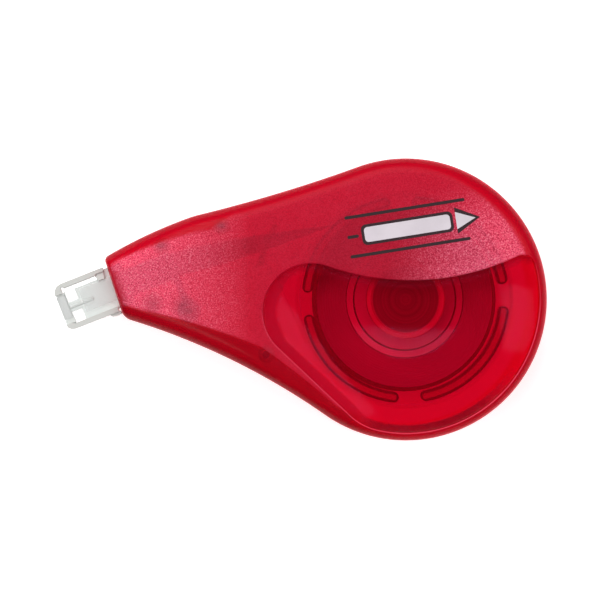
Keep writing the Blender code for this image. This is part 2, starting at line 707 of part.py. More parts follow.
def build_spring():
    """The clutch spring as one tube, with straight ends square to the washers it stands between."""
    low = PRESSURE_HIGH + FIT_GAP
    high = CAP_LOW - FIT_GAP
    radius = (BORE_RADIUS + HUB_RADIUS) / 2
    count = SPRING_TURNS * CURL_POINTS
    rise = high - low - 2 * SPRING_WIRE
    points = []
    for step in range(count + 1):
        place = radius * ray(FULL_TURN * step / CURL_POINTS)
        points.append(Vector((*place, low + SPRING_WIRE + rise * step / count)))
    far = [(a - b).length for i, a in enumerate(points) for b in points[i + CURL_POINTS // 2:]]
    print(f"clutch_spring: least gap to itself {(min(far) - SPRING_WIRE) / MM:.2f} mm")
    points = [points[0] - SPRING_WIRE * Z_AXIS] + points + [points[-1] + SPRING_WIRE * Z_AXIS]
    curve = bpy.data.curves.new("clutch_spring", "CURVE")
    curve.dimensions = "3D"
    curve.bevel_depth = SPRING_WIRE / 2
    curve.bevel_resolution = 1
    curve.use_fill_caps = True
    spline = curve.splines.new("POLY")
    spline.points.add(len(points) - 1)
    for slot, point in zip(spline.points, points):
        slot.co = (*point, 1)
    spring = bpy.data.objects.new("clutch_spring", curve)
    bpy.context.collection.objects.link(spring)
    paint(spring, (0.6, 0.6, 0.6), 0.3, 0.0)


def at_height(place, height):
    """A plan point raised to a height."""
    return Vector((place.x, place.y, height))


def build_tape():
    """The tape from the pack, round the tip and back to the take-up reel, in three lengths."""
    across = at_height(TIP_UP, 0)
    under = PARTING - WRAP
    over = PARTING + WRAP
    tail = tip_point(-TONGUE_LENGTH - FIT_GAP, 0)
    reach = PACK_RADIUS + FIT_GAP + TAPE_THICKNESS / 2
    leave = math.atan2(tail.y, tail.x) - math.acos(reach / tail.length)
    touch = reach * ray(leave)
    feed = [(at_height(touch, (PACK_LOW + PACK_HIGH) / 2), Z_AXIS)]
    side = at_height(left_of((touch - tail).normalized()), 0)
    for step in range(1, TWIST_STEPS):
        share = step / TWIST_STEPS
        twist = HALF_TURN / 2 * min(1.0, max(0.0, (share - 0.25) / 0.75))
        lift = (1 - math.cos(2 * twist)) / 2
        height = (PACK_LOW + PACK_HIGH) / 2 * (1 - lift) + under * lift
        feed.append((at_height(touch.lerp(tail, share), height), Z_AXIS * math.cos(twist) + side * math.sin(twist)))
    feed.append((at_height(tail, under), across))
    feed.append((at_height(tip_point(LOOP_START - FIT_GAP, 0), under), across))
    paint(ribbon("tape_feed_run", feed), (0.9, 0.9, 0.88), 0.5, 0.0)

    loop = [(at_height(tip_point(LOOP_START, 0), under), across)]
    for step in range(EDGE_STEPS * 2 + 1):
        turn = ray(HALF_TURN * (step / (EDGE_STEPS * 2) - 0.5))
        loop.append((at_height(tip_point(BAR_CENTRE + WRAP * turn.x, 0), PARTING + WRAP * turn.y), across))
    loop.append((at_height(tip_point(LOOP_START, 0), over), across))
    paint(ribbon("tape_tip_loop", loop), (0.9, 0.9, 0.88), 0.4, 0.0)

    middle = (FILM_LOW + FILM_HIGH) / 2
    back = [(at_height(tip_point(LOOP_START - FIT_GAP, 0), over), across)]
    back.append((at_height(tail, over), across))
    bend = GUIDE_RADIUS + FIT_GAP + TAPE_THICKNESS / 2
    start = GUIDE + bend * TIP_UP
    for step in range(1, TWIST_STEPS):
        share = step / TWIST_STEPS
        twist = HALF_TURN / 2 * share
        lift = (1 - math.cos(2 * twist)) / 2
        height = over * (1 - lift) + middle * lift
        back.append((at_height(tail.lerp(start, share), height), across * math.cos(twist) + Z_AXIS * math.sin(twist)))
    wind = FILM_RADIUS + FIT_GAP + TAPE_THICKNESS / 2
    normal = math.atan2(-GUIDE.y, -GUIDE.x) + math.acos((bend + wind) / GUIDE.length)
    for place in arc(GUIDE, bend, NOSE_ANGLE + HALF_TURN / 2, normal, FLANK_STEPS):
        back.append((at_height(place, middle), Z_AXIS))
    back.append((at_height(-wind * ray(normal), middle), Z_AXIS))
    paint(ribbon("film_return_run", back), (0.85, 0.85, 0.85), 0.2, 0.5)


for old in list(bpy.data.objects):
    bpy.data.objects.remove(old)
build_front_shell()
build_back_shell()
build_tip()
build_supply()
build_take_up()
build_spring()
build_tape()
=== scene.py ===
"""Looks of a correction tape dispenser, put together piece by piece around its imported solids."""

import math

import bmesh
import bpy
import numpy as np
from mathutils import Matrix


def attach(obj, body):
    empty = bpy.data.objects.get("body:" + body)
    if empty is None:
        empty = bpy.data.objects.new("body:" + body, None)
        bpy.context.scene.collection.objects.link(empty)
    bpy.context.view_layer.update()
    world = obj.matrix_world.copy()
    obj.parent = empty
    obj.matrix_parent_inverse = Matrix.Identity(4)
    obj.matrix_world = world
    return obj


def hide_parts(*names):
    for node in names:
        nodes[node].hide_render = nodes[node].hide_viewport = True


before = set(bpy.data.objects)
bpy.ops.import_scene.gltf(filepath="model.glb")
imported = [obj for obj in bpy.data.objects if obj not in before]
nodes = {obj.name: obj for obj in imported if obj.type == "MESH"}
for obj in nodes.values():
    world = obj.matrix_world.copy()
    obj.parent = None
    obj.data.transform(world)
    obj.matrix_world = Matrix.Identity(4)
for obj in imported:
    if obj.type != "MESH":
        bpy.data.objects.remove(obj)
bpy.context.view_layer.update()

# Back shell
# The lower half of the case is a clear red polystyrene moulding, sparked to a frost on its flat back and
# polished on its rounded edges. It carries the axle post and the sockets for the pegs of the front half.
mm = 0.001
wall = 1.2
half_depth = 8.4
parting = 8.4
parting_gap = 0.2
edge_round = 2.8
mouth_round = 0.7
body_radius = 24.5
upper_hollow = 253.0
lower_hollow = 119.0
tip_slope = 21.5
mouth_slope = 18.4
mouth_reach = 50.9
mouth_bearing = 177.75
mouth_half = 5.54
brow_back = 17.7
brow_across = 6.5
brow_bulge = 0.45
brow_ease = 0.5
head_corner = 0.9
foot_corner = 1.2
least_corner = 0.3
run_past = 3.0
nose_fall = 3.6
fall_start = -26.3
fall_power = 1.4
way_count = 1600
way_skip = 4
long_count = 264
corner_count = 7
opening_count = 9
opening_head = 4.1
opening_foot = -3.98
opening_half = 1.6
opening_step = 0.05
axis_place = np.zeros(2)
centre_place = np.array([-2.0, -8.0])
same_place = 1e-7
half_turn = math.pi
full_turn = 2 * math.pi
quarter_turn = half_turn / 2
shell_sharp = 30
turned_sharp = 35
block_sharp = 40


def unit(angle):
    """The unit vector at an angle from +X, for one angle or an array of them."""
    return np.stack([np.cos(angle), np.sin(angle)], axis=-1)


def spot(radius, degrees, centre=axis_place):
    """The plan place at a radius and an angle in degrees about a centre."""
    return centre + radius * unit(math.radians(degrees))


def bearing(vector):
    """The angle of a plan vector from +X."""
    return math.atan2(vector[1], vector[0])


def arc(centre, radius, start, end, count):
    """The centre plus the radius times the unit vector at evenly spaced angles."""
    return centre + radius * unit(np.linspace(start, end, count))


def bent(start, corner, end, turn):
    """A parabola from start to end that leaves and meets the lines to the corner."""
    return start * (1 - turn) ** 2 + corner * 2 * turn * (1 - turn) + end * turn ** 2


def raised(plan, height):
    """Plan places with heights, for a row of places or a grid of them."""
    return np.concatenate([plan, np.broadcast_to(height, plan.shape[:-1])[..., None]], axis=-1)


def sampled(points, places):
    """Points at fractional places along a polyline, straight between its own points."""
    index = np.arange(len(points))
    return np.stack([np.interp(places, index, column) for column in points.T], axis=1)


def lengths_along(points):
    """The length of a polyline from its first point up to each of its points."""
    return np.concatenate([[0.0], np.cumsum(np.hypot(*np.diff(points, axis=0).T))])


def even(points, count):
    """The polyline with its points set evenly along its length."""
    along = lengths_along(points)
    places = np.interp(np.linspace(0, along[-1], count), along, np.arange(len(points)))
    return sampled(points, places)


def left_normals(points):
    """Unit vectors to the left of the way along a polyline, square to its central differences."""
    step = np.gradient(points, axis=0)
    step /= np.hypot(*step.T)[:, None]
    return np.stack([-step[:, 1], step[:, 0]], axis=1)


def nearest(points, curve):
    """The least distance of each point to the points of a dense curve."""
    apart = points[:, None, :] - curve[None, :, :]
    return np.sqrt((apart ** 2).sum(axis=2).min(axis=1))


def nearest_mark(points, place):
    """The number of the point of a polyline that is nearest to a place."""
    return np.argmin(np.hypot(*(points - place).T))


def eased(value, low, high):
    """A smooth step from 0 at low to 1 at high: 3t^2 - 2t^3."""
    share = np.clip((value - low) / (high - low), 0, 1)
    return share * share * (3 - 2 * share)


tip_angle = math.radians(tip_slope)
mouth = spot(mouth_reach, mouth_bearing)
tip_out = unit(tip_angle + half_turn)
tip_up = unit(tip_angle + quarter_turn)
mouth_up = unit(math.radians(mouth_slope) + quarter_turn)
mouth_in = np.array([mouth_up[1], -mouth_up[0]])
brow = mouth - brow_back * tip_out + brow_across * tip_up
mouth_head = mouth + mouth_half * mouth_up
mouth_foot = mouth - mouth_half * mouth_up


def leave_bearing(hollow, end, side):
    """Where a hollow arc to a point leaves the body circle, by the law of cosines on the two centres."""
    reach = body_radius + hollow
    turn = math.acos((end @ end + reach ** 2 - hollow ** 2) / (2 * np.hypot(*end) * reach))
    return half_turn + bearing(-end) + side * turn


def long_side():
    """The case's plan from below the mouth, round the reels and back to its head, run on past both ends.

    Lower hollow arc, body circle, upper hollow arc and shallow brow parabola, with the brow corner eased.
    """
    low_leave = leave_bearing(lower_hollow, mouth_foot, 1)
    low_centre = (body_radius + lower_hollow) * unit(low_leave)
    past = bearing(mouth_foot - low_centre) + run_past / lower_hollow
    lower = arc(low_centre, lower_hollow, past, low_leave - half_turn, way_count)
    high_leave = leave_bearing(upper_hollow, brow, -1)
    body = arc(axis_place, body_radius, low_leave - full_turn, high_leave, way_count)
    high_centre = (body_radius + upper_hollow) * unit(high_leave)
    stop = bearing(brow - high_centre) + brow_ease / upper_hollow
    upper = arc(high_centre, upper_hollow, high_leave - half_turn, stop, way_count)
    span = mouth_head - brow
    length = np.hypot(*span)
    side = np.array([span[1], -span[0]]) / length
    share = np.linspace(brow_ease / length, 1 + run_past / length, way_count)[:, None]
    front = brow + span * share + side * brow_bulge * 4 * share * (1 - share)
    corner = bent(upper[-1], brow, front[0], np.linspace(0, 1, corner_count)[1:-1, None])
    return even(np.concatenate([lower, body[1:], upper[1:], corner, front]), way_count)


way = long_side()
way_in = left_normals(way)


def plan_row(offset, mouth_offset, less):
    """One level of the case's plan and how far in each of its places is.

    The long side moves in by an offset of its own at each place, the mouth line by another, and each
    corner is a parabola between the places where its radius, made less, takes it off the two sides.
    """
    points = way + way_in * offset[:, None]
    ahead = (points - mouth) @ mouth_in
    places = np.arange(way_count)
    part = way_count // 4
    low_radius = max(foot_corner - less, least_corner)
    high_radius = max(head_corner - less, least_corner)
    low_ends = np.interp([mouth_offset, mouth_offset + low_radius], ahead[:part], places[:part])
    high_ends = np.interp([-mouth_offset, -mouth_offset - high_radius], -ahead[-part:], places[-part:])
    spots = np.linspace(low_ends[1], high_ends[1], long_count)
    long = sampled(points, spots)
    high_point, low_point = sampled(points, np.array([high_ends[0], low_ends[0]]))
    turn = np.linspace(0, 1, corner_count + 1)[1:, None]
    high_stop = high_point - high_radius * mouth_up
    low_stop = low_point + low_radius * mouth_up
    head = bent(long[-1], high_point, high_stop, turn)
    foot = bent(low_stop, low_point, long[0], turn)
    top = (high_stop - mouth) @ mouth_up
    bottom = (low_stop - mouth) @ mouth_up
    top_side = min(opening_head, top - least_corner)
    bottom_side = max(opening_foot, bottom + least_corner)
    opening = np.linspace(top_side, bottom_side, opening_count)
    across = np.concatenate([[top_side + opening_step], opening, [bottom_side - opening_step, bottom]])
    line = mouth + mouth_offset * mouth_in + across[:, None] * mouth_up
    plan = np.concatenate([long, head, line, foot[:-1]])
    depth = np.full(len(plan), offset[0])
    depth[:long_count] = np.interp(spots, places, offset)
    return plan, depth


def fall(x):
    """How far the faces come in along the nose: the full fall times a power of the way to the mouth."""
    share = np.clip((fall_start - x) / (fall_start - mouth_head[0]), 0, 1)
    return nose_fall * share ** fall_power


case_plan = plan_row(np.zeros(way_count), 0.0, 0.0)[0]
station_count = len(case_plan)
lip = np.full(station_count, parting_gap / 2)
opening_start = long_count + corner_count + 1
lip[opening_start:opening_start + opening_count] = opening_half


def crown(depth, radius):
    """How high a rounded edge has risen this far in from it: a quarter circle, then flat."""
    inside = np.clip(depth, 0, radius)
    return np.sqrt(radius ** 2 - (radius - inside) ** 2)


def wall_rows(plan, count):
    """Rows of an upright wall from the lip to its top, as plan and height above the parting."""
    top = half_depth - edge_round - fall(plan[:, 0])
    return [(plan, lip + (top - lip) * step / count) for step in range(count)]


def edge_rows(start, room, radius, mouth_radius, count):
    """Rows over a rounded edge: each moved in by the room times 1 - cos, and raised by the crown there."""
    rows = []
    for angle in np.linspace(0, quarter_turn, count):
        share = 1 - math.cos(angle)
        plan, depth = plan_row(start + room * share, start + mouth_radius * share, start + radius * share)
        height = half_depth - edge_round + crown(depth - start, radius)
        rows.append((plan, height - fall(plan[:, 0])))
    return rows


def between(first, second, count):
    """Plans at even shares of the straight way from one row of places to another, without the first."""
    return [first + (second - first) * step / count for step in range(1, count + 1)]


def flat_height(plan, thickness):
    """The height of a flat face of the case above the parting, this far in from its outside."""
    return half_depth - thickness - fall(plan[:, 0])


# The window's plan is needed here because the rows of both halves run in towards it.
window_radius = 23.1
lobe = np.array([-16.4, -2.2])
lobe_radius = 8.4
lobe_start = 190
sag_radius = 43.0
sag_x = 0.65
chord_angle = math.radians(226.8)
corner_radius = 2.2
blend_radius = 10.0
target_share = 0.72


def window_outline():
    """The sunken window's plan, anticlockwise: rim circle, corner, sagging arc, lobe, chord and blend.

    The corner touches the rim from inside and the sag from outside, and the blend touches rim and chord.
    """
    reach = sag_radius + lobe_radius
    sag = np.array([sag_x, lobe[1] + math.sqrt(reach ** 2 - (sag_x - lobe[0]) ** 2)])
    inner = window_radius - corner_radius
    outer = sag_radius + corner_radius
    swing = math.acos((inner ** 2 + sag @ sag - outer ** 2) / (2 * inner * np.hypot(*sag)))
    corner_angle = bearing(sag) - swing
    corner = inner * unit(corner_angle)
    depth = unit(chord_angle) @ lobe + lobe_radius - blend_radius
    swung = chord_angle + math.acos(depth / (window_radius - blend_radius))
    blend = (window_radius - blend_radius) * unit(swung)
    joint = bearing(lobe - sag)
    parts = [
        arc(axis_place, window_radius, swung - full_turn, corner_angle, way_count),
        arc(corner, corner_radius, corner_angle, bearing(sag - corner), way_count)[1:],
        arc(sag, sag_radius, bearing(corner - sag), joint, way_count)[1:],
        arc(lobe, lobe_radius, joint + half_turn, chord_angle, way_count)[1:],
        arc(blend, blend_radius, chord_angle, swung, way_count)[:-1],
    ]
    return np.concatenate(parts)


def window_stations():
    """The window's place and outward direction for each station of the case's plan.

    A few pairs of places fix which length of the one plan belongs to which length of the other.
    """
    outline = window_outline()
    outline = np.roll(outline, -nearest_mark(outline, spot(lobe_radius, lobe_start, lobe)), axis=0)
    outline = even(np.concatenate([outline, outline[:1]]), way_count)
    pairs = [
        (way[way_count // 16], spot(lobe_radius, 208, lobe)),
        (way[way_count // 7], spot(lobe_radius, 224, lobe)),
        (spot(body_radius, 236), np.array([-12.0, -17.9])),
        (spot(body_radius, 262), spot(window_radius, 262)),
        (spot(body_radius, 12), spot(window_radius, 12)),
        (spot(body_radius, 38), np.array([19.0, 7.2])),
        (spot(body_radius, 110), np.array([-4.0, 3.6])),
        (brow, spot(lobe_radius, 115, lobe)),
        (mouth_head, spot(lobe_radius, 160, lobe)),
    ]
    case_along = lengths_along(np.concatenate([case_plan, case_plan[:1]]))
    window_along = lengths_along(outline)
    case_marks = [nearest_mark(case_plan, pair[0]) for pair in pairs]
    window_marks = [nearest_mark(outline, pair[1]) for pair in pairs]
    known = np.concatenate([[0], case_along[case_marks], case_along[-1:]])
    wanted = np.concatenate([[0], window_along[window_marks], window_along[-1:]])
    places = np.interp(np.interp(case_along[:-1], known, wanted), window_along, np.arange(way_count))
    return sampled(outline, places), -sampled(left_normals(outline), places), outline


window_place, window_out, window_curve = window_stations()
plain_target = centre_place + (window_place - centre_place) * target_share
side_blend = 4.0
band = 2.5
band_soft = 0.3
upper_fade = (2.0, 16.0)
upper_x = (-50.0, -34.0, -30.0)
upper_band = (1.7, 3.0, 1.65)
upper_soft = (0.0, 0.0, 0.45)
lower_x = (-46.0, -25.0, -12.0)
lower_band = (2.3, 4.4, 2.5)
mouth_band = (0.6, 1.1)


def frost_on(plan):
    """How frosted a face is: polished next to the outline and the mouth, and frosted in from there.

    The polished edge widens from the mouth on along both sides of the nose. Above the reels it is narrow
    and fades softly.
    """
    x = plan[:, 0]
    above = plan[:, 1] - x * mouth[1] / mouth[0]
    upper = eased(above, 0.0, side_blend) * (1 - eased(x, *upper_fade))
    lower = eased(-above, 0.0, side_blend)
    edge = band + upper * (np.interp(x, upper_x, upper_band) - band)
    edge += lower * (np.interp(x, lower_x, lower_band) - band)
    soft = band_soft + upper * np.interp(x, upper_x, upper_soft)
    inside = nearest(plan, way[::way_skip])
    behind = (plan - mouth) @ mouth_in
    return eased(inside, edge - soft, edge + soft) * eased(behind, *mouth_band)


def write_mask(mesh, name, values):
    """Stores one value a point under a name that the materials read."""
    layer = mesh.attributes.new(name, "FLOAT", "POINT")
    layer.data.foreach_set("value", np.asarray(values, dtype=np.float32))


def finished(name, mesh, sharp):
    """An object of the mesh, shaded smooth apart from edges that turn by more than an angle in degrees."""
    mesh.validate()
    mesh.polygons.foreach_set("use_smooth", np.ones(len(mesh.polygons), dtype=bool))
    mesh.set_sharp_from_angle(angle=math.radians(sharp))
    obj = bpy.data.objects.new(name, mesh)
    bpy.context.scene.collection.objects.link(obj)
    return obj


def quad_faces(index):
    """Quads between the rows of a grid of point numbers, whose columns close on themselves."""
    after = np.roll(index, -1, axis=1)
    return np.stack([index[:-1], after[:-1], after[1:], index[1:]], axis=-1).reshape(-1, 4)


def shell_mesh(name, inner, outer, sunk, sign):
    """A closed shell from its inner and outer rows, each from the lip up to its middle, closed by a fan.

    The chain of rows runs from the inner middle down to the lip, over it and up to the outer middle. The
    last sunk rows are the window's. The sign is 1 for the front half and -1 for the back. Masks mark the
    frosted face and the clear faces, which are the window and the inside.
    """
    chain = inner[::-1] + outer
    plan = np.stack([row[0] for row in chain])
    height = np.stack([row[1] for row in chain])
    ends = np.array([np.mean(2 * height[0] - height[1]), np.mean(2 * height[-1] - height[-2])])
    poles = np.array([[*centre_place, level] for level in parting + sign * ends])
    verts = np.concatenate([raised(plan, parting + sign * height).reshape(-1, 3), poles])
    index = np.arange(height.size).reshape(height.shape)
    after = np.roll(index, -1, axis=1)
    under = np.stack([np.full(station_count, height.size), after[0], index[0]], axis=-1)
    over = np.stack([index[-1], after[-1], np.full(station_count, height.size + 1)], axis=-1)
    faces = [part[:, ::sign].tolist() for part in (quad_faces(index), under, over)]
    mesh = bpy.data.meshes.new(name)
    mesh.from_pydata((verts * mm).tolist(), [], sum(faces, []))
    flat = plan.reshape(-1, 2)
    clear = np.zeros(len(flat))
    clear[(len(chain) - sunk) * station_count:] = 1
    clear[:len(inner) * station_count] = 1
    frosted = frost_on(flat) * (1 - clear)
    for mask, values in (("frosted", frosted), ("clear", clear)):
        write_mask(mesh, mask, np.concatenate([values, values[:1], values[-1:]]))
    return finished(name, mesh, shell_sharp)


def plain_skin(start, radius, mouth_radius, wall_count, edge_count, face_count):
    """Rows of one skin of a half with no window, set in by a start: wall, rounded edge and flat face."""
    plan, _ = plan_row(np.full(way_count, start), start, start)
    rows = wall_rows(plan, wall_count)
    rows += edge_rows(start, np.full(way_count, radius), radius, mouth_radius, edge_count)
    faces = between(rows[-1][0], plain_target, face_count)
    faces += between(plain_target, np.broadcast_to(centre_place, plain_target.shape), face_count)[:-1]
    return rows + [(face, flat_height(face, start)) for face in faces]


outer_rows = plain_skin(0.0, edge_round, mouth_round, wall_count=5, edge_count=10, face_count=12)
inner_rows = plain_skin(wall, edge_round - wall, 0.0, wall_count=3, edge_count=5, face_count=6)
back_case = shell_mesh("back_case", inner_rows, outer_rows, 0, -1)


def outward(mesh):
    """Merges the points that lie in one place and turns every face outward."""
    work = bmesh.new()
    work.from_mesh(mesh)
    bmesh.ops.remove_doubles(work, verts=work.verts, dist=same_place)
    bmesh.ops.recalc_face_normals(work, faces=work.faces)
    work.to_mesh(mesh)
    work.free()


def solid(name, grids, sharp, ring=False):
    """Closed sections carried along rows, as one mesh. A ring's rows close on themselves, others get caps.

    Each grid holds the places of its rows of section points in millimetres.
    """
    faces = []
    first = 0
    for grid in grids:
        index = first + np.arange(grid.shape[0] * grid.shape[1]).reshape(grid.shape[:2])
        first += index.size
        caps = [] if ring else index[[0, -1]].tolist()
        faces += quad_faces(np.concatenate([index, index[:1]]) if ring else index).tolist() + caps
    verts = np.concatenate([grid.reshape(-1, 3) for grid in grids])
    mesh = bpy.data.meshes.new(name)
    mesh.from_pydata((verts * mm).tolist(), [], faces)
    outward(mesh)
    return finished(name, mesh, sharp)


def turned_parts(name, parts, steps):
    """Closed profiles of radius and height, each carried once round its own upright axis, as one mesh.

    A part is a plan place and the profile's points in order, and a point on the axis closes to a fan.
    """
    turns = unit(np.linspace(0, full_turn, steps, endpoint=False))
    grids = []
    for place, points in parts:
        profile = np.array(points, dtype=float)
        grids.append(raised(place + profile[:, :1, None] * turns, profile[:, 1:]))
    return solid(name, grids, turned_sharp, ring=True)


def tip_place(along, across):
    """Plan places in the tip's own directions, out from the middle of the mouth and across it."""
    return mouth + np.multiply.outer(along, tip_out) + np.multiply.outer(across, tip_up)


def inside_way(start, end, share, inset):
    """The place on the long side next to a share of the way between two points, moved in by an inset."""
    index = nearest_mark(way, start + (end - start) * share)
    return way[index] + inset * way_in[index]


peg_radius = 0.6
peg_gap = 0.3
peg_places = {
    "brow": inside_way(brow, mouth_head, share=0.42, inset=2.7),
    "upper": inside_way(spot(body_radius, 110), brow, share=0.86, inset=2.7),
    "nose": tip_place(-10.7, -8.5),
    "lower": inside_way(mouth_foot, spot(body_radius, 235), share=0.64, inset=3.5),
}
socket_top = 7.15
socket_wall = 0.6
post_radius = 5.6
post_wall = 1.4
post_top = 12.4
post_steps = 64
soft_edge = 0.15


def tube_profile(inner, outer, low, high):
    """The section of a tube with its upper edges broken."""
    return [
        (inner, low),
        (outer, low),
        (outer, high - soft_edge),
        (outer - soft_edge, high),
        (inner + soft_edge, high),
        (inner, high - soft_edge),
    ]


post_parts = [(axis_place, tube_profile(post_radius - post_wall, post_radius, wall, post_top))]
for place in peg_places.values():
    bore = peg_radius + peg_gap
    post_parts.append((place, tube_profile(bore, bore + socket_wall, fall(place[0]) + wall, socket_top)))
axle_post = turned_parts("axle_post_and_sockets", post_parts, post_steps)


def new_material(name):
    """A node material with its tree and its Principled shader."""
    material = bpy.data.materials.new(name)
    material.use_nodes = True
    return material, material.node_tree, material.node_tree.nodes["Principled BSDF"]


def fill(tree, made, **values):
    """Sets a node's settings, and sets its inputs of these names to plain values or links sockets to them."""
    for key, value in values.items():
        if hasattr(made, key):
            setattr(made, key, value)
        elif isinstance(value, bpy.types.NodeSocket):
            tree.links.new(value, made.inputs[key.replace("_", " ")])
        else:
            made.inputs[key.replace("_", " ")].default_value = value
    return made


def add_node(tree, kind, **values):
    """A shader node of a kind with these settings and inputs."""
    return fill(tree, tree.nodes.new("ShaderNode" + kind), **values)


def colour_mix(tree, share, first, second):
    """A blend of two colours by a share from a socket. A colour may be a plain one or a socket."""
    mix = add_node(tree, "Mix", data_type="RGBA", Factor=share)
    ends = [item for item in mix.inputs if item.type == "RGBA"]
    for socket, colour in zip(ends, (first, second)):
        if isinstance(colour, tuple):
            socket.default_value = (*colour, 1)
        else:
            tree.links.new(colour, socket)
    return [item for item in mix.outputs if item.type == "RGBA"][0]


def ranged(tree, source, from_low, from_high, to_low, to_high):
    """A value carried straight from one range to another and held at its ends."""
    ends = {"From_Min": from_low, "From_Max": from_high, "To_Min": to_low, "To_Max": to_high}
    return add_node(tree, "MapRange", Value=source, **ends).outputs["Result"]


def worked(tree, operation, *values):
    """The result of one sum on sockets and plain numbers."""
    made = add_node(tree, "Math", operation=operation)
    for socket, value in zip(made.inputs, values):
        if isinstance(value, float):
            socket.default_value = value
        else:
            tree.links.new(value, socket)
    return made.outputs[0]


def object_place(tree):
    """The place on the object in its own directions."""
    return add_node(tree, "TexCoord").outputs["Object"]


def noise(tree, **values):
    """A noise over the object, from about 0.3 to 0.7."""
    return add_node(tree, "TexNoise", Vector=object_place(tree), **values).outputs["Fac"]


def bumped(tree, height, strength, depth):
    """The normal of a surface with small heights, whose full depth is in metres."""
    return add_node(tree, "Bump", Strength=strength, Distance=depth, Height=height).outputs["Normal"]


def see_through(tree, plastic, tint, share):
    """Lets light straight through a surface in a tint. A share of it stops at the plastic instead."""
    through = add_node(tree, "BsdfTransparent", Color=tint)
    mix = add_node(tree, "MixShader", Fac=share)
    tree.links.new(through.outputs["BSDF"], mix.inputs[1])
    tree.links.new(plastic.outputs["BSDF"], mix.inputs[2])
    tree.links.new(mix.outputs["Shader"], tree.nodes["Material Output"].inputs["Surface"])


fine_scale = 4800.0
slow_scale = 260.0
# The sparkle and glint ranges make painted highlights; the speck range is the grain's own.
fine_ranges = {"Painted_sparkle": (0.44, 0.66), "Painted_glint": (0.56, 0.68), "Speck": (0.46, 0.34)}
slow_range = (0.35, 0.65)


def grain_group():
    """Sparked mould grain: fine noise gives specks, height, painted sparkle and glints; slow noise a mottle.
    """
    group = bpy.data.node_groups.new("sparked_grain", "ShaderNodeTree")
    scale = group.interface.new_socket("Scale", in_out="INPUT", socket_type="NodeSocketFloat")
    scale.default_value = fine_scale
    for name in (*fine_ranges, "Height", "Mottle"):
        group.interface.new_socket(name, in_out="OUTPUT", socket_type="NodeSocketFloat")
    start = group.nodes.new("NodeGroupInput")
    end = group.nodes.new("NodeGroupOutput")
    fine = noise(group, Scale=start.outputs["Scale"], Detail=2.0, Roughness=0.7)
    slow = noise(group, Scale=slow_scale, Detail=3.0)
    for name, (low, high) in fine_ranges.items():
        group.links.new(ranged(group, fine, low, high, 0.0, 1.0), end.inputs[name])
    group.links.new(fine, end.inputs["Height"])
    group.links.new(ranged(group, slow, *slow_range, 0.0, 1.0), end.inputs["Mottle"])
    return group


sparked_grain = grain_group()
case_tint = (0.968, 0.24, 0.455)
case_deep = (0.5, 0.004, 0.026)
case_haze = (0.98, 0.116, 0.222)
# How dark the painted shade of the rim mask makes the deep colour.
painted_rim_shade = 0.25
rim_share = 0.8
lip_share = 0.85
lip_painted_highlight = 0.5
# The colour of the painted glints on the frost.
painted_glint_colour = (1.0, 0.52, 0.6)
grain_dark = (0.3, 0.008, 0.03)
grain_strength = 0.5
grain_depth = 0.00006
# Painted shade on the frost where a peg or the tip's ear lies behind it.
painted_peg_shade = (0.17, 0.055, 0.085)
peg_share = 0.48
peg_spot = 1.8
ear_shade_spots = [(tip_place(-10.2, -7.4), 2.6), (tip_place(-5.4, -5.1), 2.4)]
speck_share = 0.75
mottle_share = 0.03
# How strongly the painted sparkle shows, more where the frost is paler.
sparkle_gain = 1.2
sparkle_least = 0.1
# A painted glow on the frost towards the nose, where the white tip lies behind it.
nose_painted_glow = 0.68
nose_start = -27.0
nose_full = -46.0
edge_rough = 0.2
frost_rough = 0.42
polish_rough = 0.02
polish_end = 0.3
case_gloss = 0.12
edge_depth = 2.0


def peg_shade(tree, place):
    """Painted shade where a peg or the tip's ear is behind: 1 at its middle, falling to 0 a little outside
    it.
    """
    flat = add_node(tree, "VectorMath", operation="MULTIPLY")
    flat.inputs[1].default_value = (1, 1, 0)
    tree.links.new(place, flat.inputs[0])
    shades = []
    for middle, reach in [(peg, peg_spot) for peg in peg_places.values()] + ear_shade_spots:
        away = add_node(tree, "VectorMath", operation="DISTANCE")
        away.inputs[1].default_value = (middle[0] * mm, middle[1] * mm, 0)
        tree.links.new(flat.outputs["Vector"], away.inputs[0])
        shades.append(ranged(tree, away.outputs["Value"], peg_radius * mm / 2, reach * mm, 1.0, 0.0))
    shade = shades[0]
    for other in shades[1:]:
        shade = worked(tree, "MAXIMUM", shade, other)
    return shade


